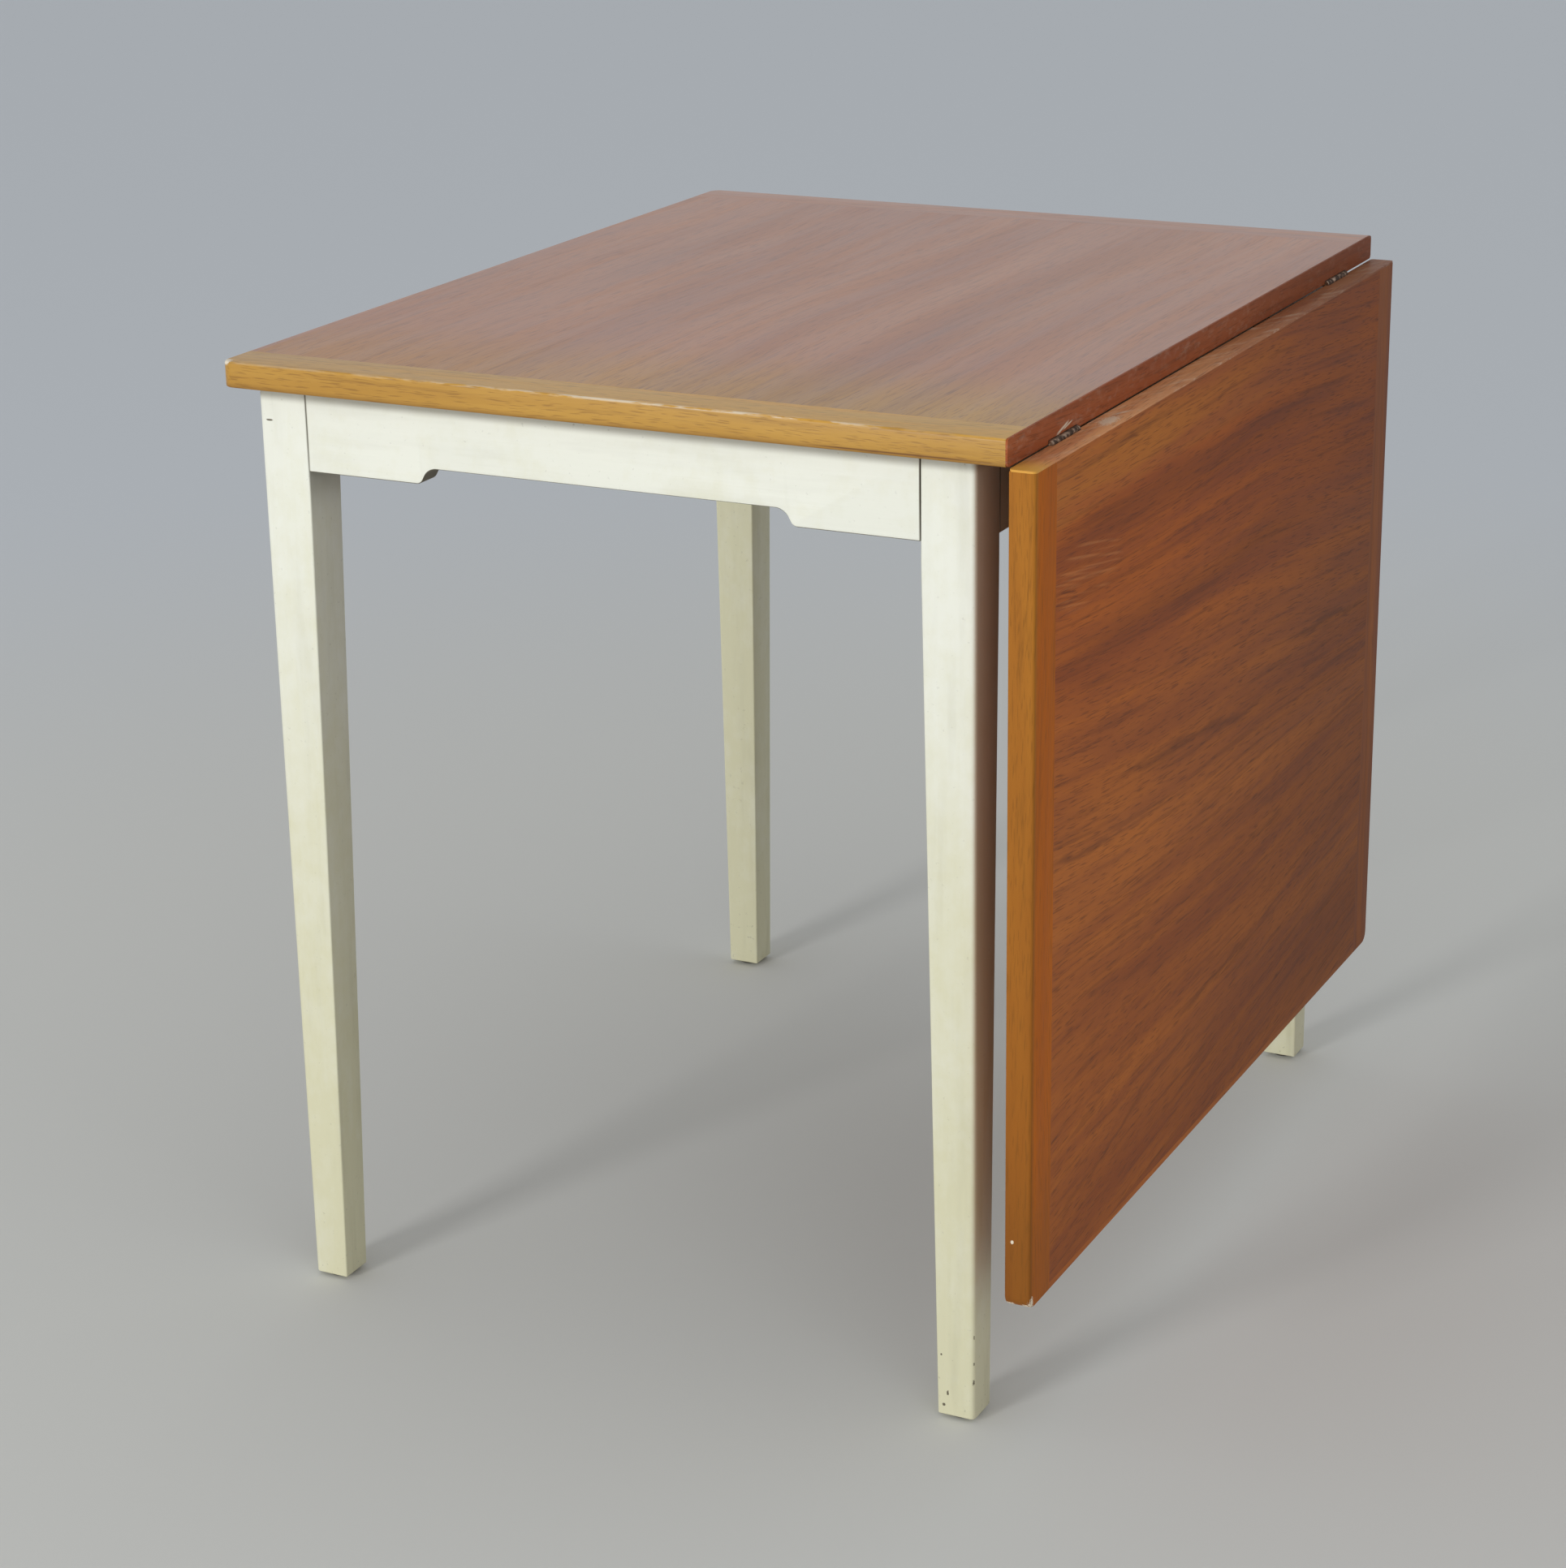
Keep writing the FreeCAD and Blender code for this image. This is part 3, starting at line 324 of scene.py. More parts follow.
def round_edges(piece, radius, wanted, segments):
    """Rounds the edges that wanted() takes."""
    pick(piece, "EDGE", wanted)
    bpy.ops.mesh.bevel(offset=radius, offset_type="OFFSET", segments=segments, profile=0.5, affect="EDGES")


def smooth_by_angle(piece):
    """Shades a piece smooth except over sharp edges."""
    select_only(piece)
    bpy.ops.object.shade_smooth_by_angle(angle=SMOOTH_ANGLE)


def copy_piece(piece, name, turn=0.0, mirror=None, shift=(0.0, 0.0, 0.0)):
    """A copy with its own mesh, turned about the upright axis or mirrored, then moved."""
    select_only(piece)
    bpy.ops.object.duplicate(linked=False)
    copy = bpy.context.object
    copy.name = name
    copy.data.name = name
    copy.rotation_euler.z = turn
    if mirror is not None:
        copy.scale[mirror] = -1.0
    copy.location = shift
    bpy.ops.object.transform_apply(location=True, rotation=True, scale=True)
    if mirror is not None:
        with edit_mode(copy):
            bpy.ops.mesh.select_all(action="SELECT")
            bpy.ops.mesh.normals_make_consistent(inside=False)
    smooth_by_angle(copy)
    return copy


def dress(piece, finish, body, slot, *nodes):
    """Gives a new piece its finish and its body and hides the nodes it stands for; slot is not used."""
    piece.data.materials.clear()
    piece.data.materials.append(bpy.data.materials[finish])
    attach(piece, body)
    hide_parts(*nodes)


def finish_node(name, finish):
    """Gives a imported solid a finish."""
    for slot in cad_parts[name].material_slots:
        slot.material = bpy.data.materials[finish]


# Material helpers


def feed(tree, socket, value):
    """Links or sets one socket."""
    if isinstance(value, bpy.types.NodeSocket):
        tree.links.new(value, socket)
    else:
        socket.default_value = value


def feed_named(tree, node, **feeds):
    """Links or sets the inputs of a node by their names, with underscores for spaces."""
    for key, value in feeds.items():
        feed(tree, node.inputs[key.replace("_", " ")], value)


def add_node(tree, kind, settings=None, **feeds):
    """Adds a shader node with its settings and inputs."""
    node = tree.nodes.new("ShaderNode" + kind)
    for key, value in (settings or {}).items():
        setattr(node, key, value)
    feed_named(tree, node, **feeds)
    return node


def arithmetic(tree, kind, operation, terms):
    """Adds a node that works on terms in their order."""
    node = add_node(tree, kind, {"operation": operation})
    for socket, value in zip(node.inputs, terms):
        feed(tree, socket, value)
    return node


def calc(tree, operation, *terms):
    """One step of arithmetic."""
    return arithmetic(tree, "Math", operation, terms).outputs[0]


def vector_calc(tree, operation, *terms):
    """One step of arithmetic on vectors."""
    return arithmetic(tree, "VectorMath", operation, terms).outputs[0]


def distance(tree, vector):
    """The length of a vector."""
    return arithmetic(tree, "VectorMath", "LENGTH", (vector,)).outputs["Value"]


def times(tree, *terms):
    """The product of several values."""
    return reduce(partial(calc, tree, "MULTIPLY"), terms)


def largest(tree, *masks):
    """The largest of several masks."""
    return reduce(partial(calc, tree, "MAXIMUM"), masks)


def mix_colour(tree, factor, first, second, mode="MIX"):
    """Mixes two colours."""
    node = add_node(tree, "Mix", {"data_type": "RGBA", "blend_type": mode})
    # These are the sockets of the factor and the colours: the others have the same names
    for socket, value in ((0, factor), (6, first), (7, second)):
        feed(tree, node.inputs[socket], value)
    return node.outputs[2]


def spread(tree, value, low, high, out_low=0.0, out_high=1.0):
    """Maps the range between low and high smoothly onto another."""
    node = add_node(
        tree, "MapRange", {"interpolation_type": "SMOOTHSTEP"},
        Value=value, From_Min=low, From_Max=high, To_Min=out_low, To_Max=out_high,
    )
    return node.outputs[0]


def noise(tree, vector, scale, detail=2.0, roughness=0.5, output="Fac"):
    """Noise that is stretched by its own scale along each axis."""
    stretched = vector_calc(tree, "MULTIPLY", vector, scale)
    node = add_node(tree, "TexNoise", Vector=stretched, Scale=1.0, Detail=detail, Roughness=roughness)
    return node.outputs[output]


def new_group(name, vectors, colours, numbers):
    """A node group with inputs of three kinds; returns its tree, what comes in and where results leave."""
    tree = bpy.data.node_groups.new(name, "ShaderNodeTree")
    for kind, labels in (("Vector", vectors), ("Color", colours), ("Float", numbers)):
        for label in labels:
            tree.interface.new_socket(label, in_out="INPUT", socket_type="NodeSocket" + kind)
    for label, kind in (("Color", "Color"), ("Height", "Float"), ("Wear", "Float")):
        tree.interface.new_socket(label, in_out="OUTPUT", socket_type="NodeSocket" + kind)
    enter = tree.nodes.new("NodeGroupInput")
    leave = tree.nodes.new("NodeGroupOutput")
    return tree, enter.outputs, leave


def place_group(tree, name, **feeds):
    """Places a node group in a material and returns its outputs."""
    return add_node(tree, "Group", {"node_tree": bpy.data.node_groups[name]}, **feeds).outputs


def new_material(name):
    """A new material's tree, its shader and the piece's own coordinates."""
    material = bpy.data.materials.new(name)
    material.use_nodes = True
    tree = material.node_tree
    place = add_node(tree, "TexCoord").outputs["Object"]
    return tree, tree.nodes["Principled BSDF"], place


def turned(tree, place, angles, shift=(0.0, 0.0, 0.0)):
    """Turns and shifts coordinates."""
    return add_node(tree, "Mapping", Vector=place, Rotation=angles, Location=shift).outputs[0]


def lay_grain(tree, place, axis):
    """Turns coordinates so that their second axis runs along an axis of the piece."""
    return turned(tree, place, GRAIN_ALONG[axis])


def split(tree, vector):
    """The three parts of a vector."""
    return add_node(tree, "SeparateXYZ", Vector=vector).outputs


def roughen(tree, shader, height, strength, depth):
    """Lets a height pattern tilt the shading."""
    bump = add_node(tree, "Bump", Height=height, Strength=strength, Distance=depth)
    feed_named(tree, shader, Normal=bump.outputs[0])


def spots(tree, place, *marks):
    """A mask of spots, each given as its centre, its reach along each axis and how raggedly it ends."""
    ruffle = noise(tree, place, (900.0, 900.0, 900.0), 2.0, 0.6)
    masks = []
    for centre, reach, ragged in marks:
        gap = vector_calc(tree, "DIVIDE", vector_calc(tree, "SUBTRACT", place, centre), reach)
        far = calc(tree, "SUBTRACT", distance(tree, gap), ragged)
        far = calc(tree, "MULTIPLY_ADD", ruffle, ragged * 2.0, far)
        masks.append(spread(tree, far, 1.0, 0.7))
    return largest(tree, *masks)


def strokes(tree, along, across, *lines):
    """A mask of slanting lines, soft all round, each given as its start, end, height, slope and width."""
    masks = []
    for start, end, height, slope, width in lines:
        line = calc(tree, "MULTIPLY_ADD", calc(tree, "SUBTRACT", along, start), slope, height)
        off = calc(tree, "ABSOLUTE", calc(tree, "SUBTRACT", across, line))
        fade = (end - start) * STROKE_FADE
        begun = spread(tree, along, start, start + fade)
        ended = spread(tree, along, end, end - fade)
        masks.append(times(tree, spread(tree, off, width, 0.0), begun, ended))
    return largest(tree, *masks)


# Effects that several materials share


def make_wood_group():
    """Wood whose grain runs along the second axis: broad bands, streaks, thin lines and dashes."""
    tree, enter, leave = new_group(
        "wood_figure", vectors=("Vector",), colours=SHADES, numbers=(*FIGURE, "Dash rate")
    )
    sway = noise(tree, enter["Vector"], (2.6, 1.3, 2.6), 1.0, output="Color")
    sway = vector_calc(tree, "SUBTRACT", sway, (0.5, 0.5, 0.5))
    sway = vector_calc(tree, "MULTIPLY", sway, (0.07, 0.0, 0.07))
    flow = vector_calc(tree, "ADD", enter["Vector"], sway)
    band = spread(tree, noise(tree, flow, (11.0, 0.9, 11.0)), 0.33, 0.67, -0.5, 0.5)
    streak = spread(tree, noise(tree, flow, (58.0, 3.2, 58.0), 3.0, 0.6), 0.30, 0.70, -0.5, 0.5)
    line = spread(tree, noise(tree, flow, (230.0, 6.0, 230.0)), 0.52, 0.70)
    dash_scale = add_node(tree, "CombineXYZ", X=1050.0, Y=enter["Dash rate"], Z=1050.0).outputs[0]
    dash = spread(tree, noise(tree, flow, dash_scale, 1.0), 0.54, 0.70)
    tone = calc(tree, "MULTIPLY_ADD", band, enter["Bands"], 0.5)
    tone = calc(tree, "MULTIPLY_ADD", streak, enter["Streaks"], tone)
    body = mix_colour(tree, tone, enter["Dark"], enter["Light"])
    lined = mix_colour(tree, times(tree, line, enter["Lines"]), body, enter["Vein"])
    dashed = mix_colour(tree, times(tree, dash, enter["Dashes"]), lined, enter["Vein"])
    hollow = calc(tree, "MULTIPLY_ADD", dash, -0.7, 1.0)
    hollow = calc(tree, "MULTIPLY_ADD", line, -0.3, hollow)
    feed_named(tree, leave, Color=dashed, Height=hollow, Wear=calc(tree, "ADD", streak, 0.5))


def make_paint_group():
    """Brushed cream paint that darkens and yellows towards the floor and the rear, partly yellowed paint and
    partly painted shade, and gathers dirt, with painted shade just under the top.
    """
    tree, enter, leave = new_group(
        "aged_paint", vectors=("Vector", "Brush"), colours=("Fresh", "Aged", "Dirt"), numbers=("Grime",)
    )
    _, y, z = split(tree, enter["Vector"])
    cloud = noise(tree, enter["Vector"], (11.0, 11.0, 7.0), 3.0, 0.6)
    mottle = noise(tree, enter["Vector"], (70.0, 70.0, 55.0), 3.0, 0.65)
    streak = noise(tree, enter["Brush"], (150.0, 6.0, 150.0), 3.0, 0.6)
    # Darker and yellower towards the floor and the rear: partly yellowed paint, partly painted shade
    low_down = calc(tree, "POWER", spread(tree, z, 0.72, 0.04), 0.75)
    age_and_shade = calc(tree, "MAXIMUM", low_down, spread(tree, y, -0.15, 0.30, 0.0, 0.9))
    for pattern, share in ((cloud, 1.0), (mottle, 0.7), (streak, 0.30)):
        age_and_shade = calc(tree, "ADD", age_and_shade, calc(tree, "MULTIPLY_ADD", pattern, share, -share / 2))
    body = mix_colour(tree, age_and_shade, enter["Fresh"], enter["Aged"])
    smear = spread(tree, noise(tree, enter["Brush"], (60.0, 7.0, 60.0), 3.0, 0.6), 0.47, 0.76)
    speck = spread(tree, noise(tree, enter["Vector"], (260.0, 260.0, 260.0), 2.0, 0.6), 0.66, 0.74)
    foot = spread(tree, z, 0.085, 0.0, 0.55, 1.3)
    # Painted shade with some dirt: a dark band along the top of the legs and aprons, just under the top board
    under_top_shade = spread(tree, z, 0.6995, 0.7065, 0.0, 1.7)
    # dirt specks and smears near the floor, plus the painted shade under the top
    darkening = calc(tree, "MULTIPLY_ADD", speck, 0.6, times(tree, smear, 0.35))
    darkening = calc(tree, "ADD", times(tree, darkening, foot), under_top_shade)
    dirty = mix_colour(tree, times(tree, darkening, enter["Grime"]), body, enter["Dirt"])
    brush = noise(tree, enter["Brush"], (420.0, 9.0, 420.0))
    relief = calc(tree, "MULTIPLY_ADD", streak, 0.8, brush)
    relief = calc(tree, "MULTIPLY_ADD", mottle, 0.5, relief)
    feed_named(tree, leave, Color=dirty, Height=relief, Wear=smear)


# Finishes


def pair(colours, wood):
    """The light and the dark shade of a wood."""
    return getattr(colours, wood + "_light"), getattr(colours, wood + "_dark")


def blend(tree, mask, first, second):
    """Mixes two woods, each given as its light and its dark shade."""
    return [mix_colour(tree, mask, *shades) for shades in zip(first, second)]


def place_wood(tree, grain, shades, figure, dash_rate=30.0):
    """Places the wood figure in a material, with its colours and the amounts of its patterns."""
    feeds = dict(zip(SHADES + FIGURE, (*shades, *figure)))
    return place_group(tree, "wood_figure", Vector=grain, Dash_rate=dash_rate, **feeds)


def polish(tree, shader, wood, roughness, coat=0.0, shine=0.5, coat_roughness=0.28):
    """Sheen and pores of a polished wood."""
    worn = spread(tree, wood["Wear"], 0.0, 1.0, roughness - 0.03, roughness + 0.03)
    feed_named(
        tree, shader, Roughness=worn, Specular_IOR_Level=shine,
        Coat_Weight=coat, Coat_Roughness=coat_roughness,
    )
    roughen(tree, shader, wood["Height"], strength=0.3, depth=0.0002)


def shade_leaf(tree, place, colour, shade):
    """Darkens the leaf's wood towards the rear."""
    _, y, _ = split(tree, place)
    return mix_colour(tree, spread(tree, y, -0.30, 0.38), colour, shade, "MULTIPLY")


def wood_material(name, axis, shades, figure, roughness, coat=0.0, shine=0.5, leaf_shade=None):
    """Polished wood with its grain along an axis of the piece."""
    tree, shader, place = new_material(name)
    wood = place_wood(tree, lay_grain(tree, place, axis), shades, figure)
    colour = wood["Color"]
    if leaf_shade is not None:
        colour = shade_leaf(tree, place, colour, leaf_shade)
    feed_named(tree, shader, Base_Color=colour)
    polish(tree, shader, wood, roughness, coat, shine)


def make_top_veneer(colours):
    """Smooth veneer of the top, which turns golden towards the front."""
    tree, shader, place = new_material("top_veneer")
    x, y, _ = split(tree, place)
    front = (-0.18, -0.36)
    golden = times(tree, spread(tree, y, *front), spread(tree, x, -0.28, 0.28, 0.35, 0.85))
    shades = *blend(tree, golden, pair(colours, "veneer"), pair(colours, "lipping")), colours.veneer_vein
    wood = place_wood(tree, lay_grain(tree, place, "Y"), shades, (0.75, 0.30, 0.20, 0.42), 42.0)
    shadow = strokes(tree, y, x, (-0.45, 0.60, 0.122, 0.035, 0.055), (-0.10, 0.50, -0.205, 0.02, 0.035))
    shadowed = mix_colour(tree, times(tree, shadow, 0.15), wood["Color"], colours.veneer_vein)
    feed_named(tree, shader, Base_Color=shadowed)
    polish(tree, shader, wood, 0.40, coat=spread(tree, y, *front, 0.22, 0.05))


def make_top_lipping(colours):
    """Golden front lipping of the top, with dashes, a crack, a worn corner and a pale line along its upper
    front edge that is partly worn wood and partly painted highlight.
    """
    tree, shader, place = new_material("top_lipping")
    x, y, z = split(tree, place)
    crown = times(tree, spread(tree, z, 0.7280, 0.7297), spread(tree, x, -0.30, 0.05, 0.4, 1.0))
    bleached = (colours.lipping_crown, colours.lipping_light)
    shades = *blend(tree, crown, pair(colours, "lipping"), bleached), colours.lipping_vein
    wood = place_wood(tree, lay_grain(tree, place, "X"), shades, (0.5, 0.5, 0.2, 0.40), 62.0)
    crack = strokes(tree, x, z, (0.13, 0.300, 0.7130, 0.0, 0.0012))
    # Darker along the lower edge of the front face
    darkening = times(tree, spread(tree, z, 0.7155, 0.7115), 0.45)
    cracked = mix_colour(tree, largest(tree, crack, darkening), wood["Color"], colours.lipping_vein)
    # Painted highlight, partly worn wood: a pale broken line along the upper front edge, strongest in the
    # middle of the front
    arris = times(tree, spread(tree, z, 0.7282, 0.7295), spread(tree, y, -0.3795, -0.3815))
    broken_highlight = spread(tree, noise(tree, place, (45.0, 300.0, 300.0), 3.0, 0.6), 0.40, 0.58, 0.0, 0.85)
    highlight_middle = (spread(tree, x, -0.22, 0.02, 0.3, 1.0), spread(tree, x, 0.25, 0.14, 0.1, 1.0))
    pale_marks = times(tree, arris, broken_highlight, *highlight_middle)
    corner = spots(tree, place, ((-0.3125, -0.3795, 0.7290), (0.0065, 0.005, 0.0022), 0.7))
    pale_marks = largest(tree, pale_marks, corner)
    feed_named(tree, shader, Base_Color=mix_colour(tree, pale_marks, cracked, colours.bare_wood_and_highlight))
    polish(tree, shader, wood, 0.40, coat=0.08, shine=0.24, coat_roughness=0.2)


def make_leaf_veneer(colours):
    """Lively veneer of the leaf, with dark flames and a patch of pale lines."""
    tree, shader, place = new_material("leaf_veneer")
    x, y, z = split(tree, place)
    lean = spread(tree, z, 0.13, 0.48, -0.09, 0.08)
    lean = calc(tree, "ADD", lean, spread(tree, z, 0.50, 0.66, 0.0, -0.05))
    leaned = calc(tree, "MULTIPLY_ADD", y, lean, z)
    leaned = add_node(tree, "CombineXYZ", X=x, Y=y, Z=leaned).outputs[0]
    grain = turned(tree, leaned, GRAIN_ALONG["Y"], shift=(0.0, 0.0, 0.27))
    upper_strip = times(tree, spread(tree, y, 0.36, -0.36), spread(tree, z, 0.658, 0.667, 0.0, 0.5))
    golden = (colours.lipping_light, colours.leaf_light)
    shades = *blend(tree, upper_strip, pair(colours, "leaf"), golden), colours.veneer_vein
    wood = place_wood(tree, grain, shades, (0.36, 0.55, 0.32, 0.52), 46.0)
    waver = noise(tree, place, (6.0, 9.0, 30.0), 3.0, 0.6)
    height = calc(tree, "MULTIPLY_ADD", waver, 0.03, calc(tree, "SUBTRACT", z, 0.015))
    flames = strokes(
        tree, y, height,
        (-0.27, 0.13, 0.455, -0.10, 0.0055),
        (0.12, 0.35, 0.458, -0.13, 0.0065),
        (-0.12, 0.09, 0.220, 0.04, 0.0050),
        (-0.37, -0.22, 0.432, -0.16, 0.0050),
        (-0.31, -0.13, 0.157, 0.21, 0.0045),
    )
    shadow = strokes(tree, y, height, (-0.40, 0.25, 0.566, -0.03, 0.022), (-0.45, 0.36, 0.645, -0.01, 0.020))
    comb = noise(tree, turned(tree, place, (math.radians(10.0), 0.0, 0.0)), (60.0, 9.0, 300.0), 1.0)
    patch = spots(tree, place, ((0.316, -0.290, 0.620), (0.05, 0.070, 0.026), 0.1))
    pale = times(tree, spread(tree, comb, 0.48, 0.66, 0.0, 0.17), patch)
    dashed = spots(tree, place, ((0.316, -0.330, 0.606), (0.05, 0.024, 0.014), 0.2))
    dashes = times(tree, spread(tree, comb, 0.46, 0.36, 0.0, 0.7), dashed)
    low_down = spread(tree, z, 0.25, 0.15, 0.0, 0.14)
    marks = largest(tree, times(tree, flames, 0.5), times(tree, shadow, 0.32), dashes, low_down)
    marked = mix_colour(tree, marks, wood["Color"], colours.veneer_vein)
    lined = mix_colour(tree, pale, marked, colours.worn_wood)
    glowing = mix_colour(tree, spread(tree, z, 0.42, 0.60), lined, colours.leaf_glow, "MULTIPLY")
    feed_named(tree, shader, Base_Color=shade_leaf(tree, place, glowing, colours.leaf_shade))
    polish(tree, shader, wood, 0.5, shine=0.1)


def make_leaf_lipping(colours):
    """Orange front lipping of the leaf, chipped at its free corner."""
    tree, shader, place = new_material("leaf_lipping")
    _, y, z = split(tree, place)
    low_shades = (colours.leaf_lipping_low, colours.leaf_lipping_dark)
    high_shades = (colours.leaf_lipping_light, colours.leaf_lipping_low)
    front = blend(tree, spread(tree, z, 0.12, 0.66), low_shades, high_shades)
    shades = blend(tree, spread(tree, y, -0.3825, -0.376), front, pair(colours, "leaf_band"))
    shades = *shades, colours.lipping_vein
    wood = place_wood(tree, lay_grain(tree, place, "Z"), shades, (0.4, 0.4, 0.2, 0.35), 50.0)
    low_down = spread(tree, z, 0.25, 0.14, 0.0, 0.33)
    darkened = mix_colour(tree, low_down, wood["Color"], colours.lipping_vein)
    chips = spots(
        tree, place,
        ((0.3130, -0.3800, 0.1090), (0.0045, 0.0045, 0.0025), 1.2),
        ((0.3150, -0.3790, 0.1130), (0.0020, 0.0030, 0.0050), 1.2),
        ((0.3000, -0.3800, 0.1095), (0.0040, 0.0045, 0.0018), 1.2),
        ((0.3023, -0.3830, 0.1590), (0.0014, 0.0020, 0.0016), 0.7),
    )
    feed_named(tree, shader, Base_Color=mix_colour(tree, chips, darkened, colours.bare_wood_and_highlight))
    polish(tree, shader, wood, 0.5, shine=0.06)


def make_hinge_edging(colours, name, woods, golden, scuffs, rear_darkening):
    """Scuffed edging along the hinges, golden at its front end and darker towards the rear."""
    tree, shader, place = new_material(name)
    _, y, z = split(tree, place)
    shades = (*woods, colours.veneer_vein)
    wood = place_wood(tree, lay_grain(tree, place, "Y"), shades, (0.6, 0.5, 0.3, 0.45), 40.0)
    # Darker towards the rear, with fewer scuffs there
    rear = spread(tree, y, -0.30, 0.36, 0.0, rear_darkening)
    plain = mix_colour(tree, rear, wood["Color"], colours.veneer_vein)
    slanted = turned(tree, place, (0.0, 0.0, math.radians(24.0)))
    scuff = spread(tree, noise(tree, slanted, (170.0, 22.0, 170.0), 4.0, 0.7), 0.48, 0.72, 0.0, scuffs)
    pale_marks = spread(tree, noise(tree, place, (9.0, 9.0, 9.0)), 0.35, 0.60, 0.25, 1.0)
    scuff = times(tree, scuff, pale_marks, calc(tree, "SUBTRACT", 1.0, rear))
    knocks = strokes(
        tree, y, z,
        (-0.302, -0.276, 0.7135, 0.24, 0.0016),
        (-0.290, -0.270, 0.7150, 0.18, 0.0010),
    )
    dent = spots(tree, place, ((0.3070, -0.2330, 0.7102), (0.006, 0.016, 0.004), 1.2))
    dent = times(tree, dent, 0.6)
    scuffed = mix_colour(tree, largest(tree, scuff, knocks, dent), plain, colours.bare_wood_and_highlight)
    front_end = spread(tree, y, -0.345, -0.380, 0.0, golden)
    feed_named(tree, shader, Base_Color=mix_colour(tree, front_end, scuffed, colours.lipping_crown))
    polish(tree, shader, wood, 0.55, coat=golden * 0.1, shine=0.1)


def make_paint(colours, name, axis):
    """Cream paint brushed along a piece, with dark joints, the scratches and chips of the front legs, and
    painted shade with a painted brown reflection of the leaf on the right legs' outer sides.
    """
    tree, shader, place = new_material(name)
    x, y, z = split(tree, place)
    paint = place_group(
        tree, "aged_paint", Vector=place, Brush=lay_grain(tree, place, axis), Fresh=colours.paint_fresh,
        Aged=colours.paint_aged_and_shaded, Dirt=colours.paint_dirt_and_shade, Grime=0.4,
    )
    # Painted shade with a painted brown reflection of the leaf on the right legs' outer sides, stronger
    # higher up
    behind_leaf_shade = times(tree, spread(tree, x, 0.2655, 0.2680, 0.0, 0.6), spread(tree, z, 0.10, 0.45, 0.3, 1.0))
    shaded_behind_leaf = mix_colour(tree, behind_leaf_shade, paint["Color"], colours.paint_shade_behind_leaf)
    joints = [
        strokes(tree, z, across, *((0.60, 0.90, seam, 0.0, 0.0013) for seam in seams))
        for across, seams in ((x, (-0.2536, 0.2278)), (y, (-0.3287, 0.3287)))
    ]
    chips = spots(
        tree, place,
        ((-0.2853, -0.369, 0.6865), (0.0034, 0.003, 0.0008), 0.35),
        ((0.2473, -0.369, 0.0210), (0.0010, 0.003, 0.0022), 0.7),
        ((0.2443, -0.369, 0.0110), (0.0014, 0.003, 0.0014), 0.7),
        ((0.2423, -0.369, 0.0510), (0.0008, 0.003, 0.0010), 0.7),
        ((0.2672, -0.3685, 0.0330), (0.0009, 0.002, 0.0030), 0.7),
        ((0.2674, -0.3685, 0.0480), (0.0007, 0.002, 0.0024), 0.7),
        ((0.2674, -0.3685, 0.0690), (0.0007, 0.002, 0.0020), 0.7),
    )
    marked = mix_colour(tree, largest(tree, *joints, chips), shaded_behind_leaf, colours.paint_dirt_and_shade)
    worn = spread(tree, paint["Wear"], 0.0, 1.0, 0.42, 0.58)
    feed_named(tree, shader, Base_Color=marked, Roughness=worn)
    roughen(tree, shader, paint["Height"], strength=0.3, depth=0.0003)


def make_chipboard(colours):
    """Pressed chips of the boards' cores."""
    tree, shader, place = new_material("chipboard")
    chips = add_node(tree, "TexVoronoi", Vector=place, Scale=260.0)
    shade = add_node(tree, "SeparateColor", Color=chips.outputs["Color"]).outputs["Red"]
    tone = spread(tree, shade, 0.1, 0.9)
    chip_colour = mix_colour(tree, tone, colours.chip_dark, colours.chip_light)
    feed_named(tree, shader, Base_Color=chip_colour, Roughness=spread(tree, tone, 0.0, 1.0, 0.75, 0.9))
    roughen(tree, shader, chips.outputs["Distance"], strength=0.4, depth=0.0004)


def make_steel(colours):
    """Tarnished steel of hinges and screws."""
    tree, shader, place = new_material("tarnished_steel")
    film = spread(tree, noise(tree, place, (180.0, 180.0, 180.0), 3.0, 0.6), 0.36, 0.54)
    feed_named(
        tree, shader,
        Base_Color=mix_colour(tree, film, colours.steel, colours.steel_tarnish),
        Metallic=spread(tree, film, 0.0, 1.0, 0.9, 0.1),
        Roughness=spread(tree, film, 0.0, 1.0, 0.38, 0.8),
        Specular_IOR_Level=0.25,
    )
    scratches = noise(tree, place, (60.0, 900.0, 900.0))
    roughen(tree, shader, scratches, strength=0.2, depth=0.0001)


def make_plastic(colours):
    """Scuffed dark plastic of the glides."""
    tree, shader, place = new_material("scuffed_plastic")
    scuff = spread(tree, noise(tree, place, (300.0, 300.0, 300.0), 3.0), 0.5, 0.7)
    scuffed = mix_colour(tree, scuff, colours.glide, colours.paint_dirt_and_shade)
    feed_named(tree, shader, Base_Color=scuffed, Roughness=spread(tree, scuff, 0.0, 1.0, 0.4, 0.65))
    roughen(tree, shader, scuff, strength=0.2, depth=0.0002)


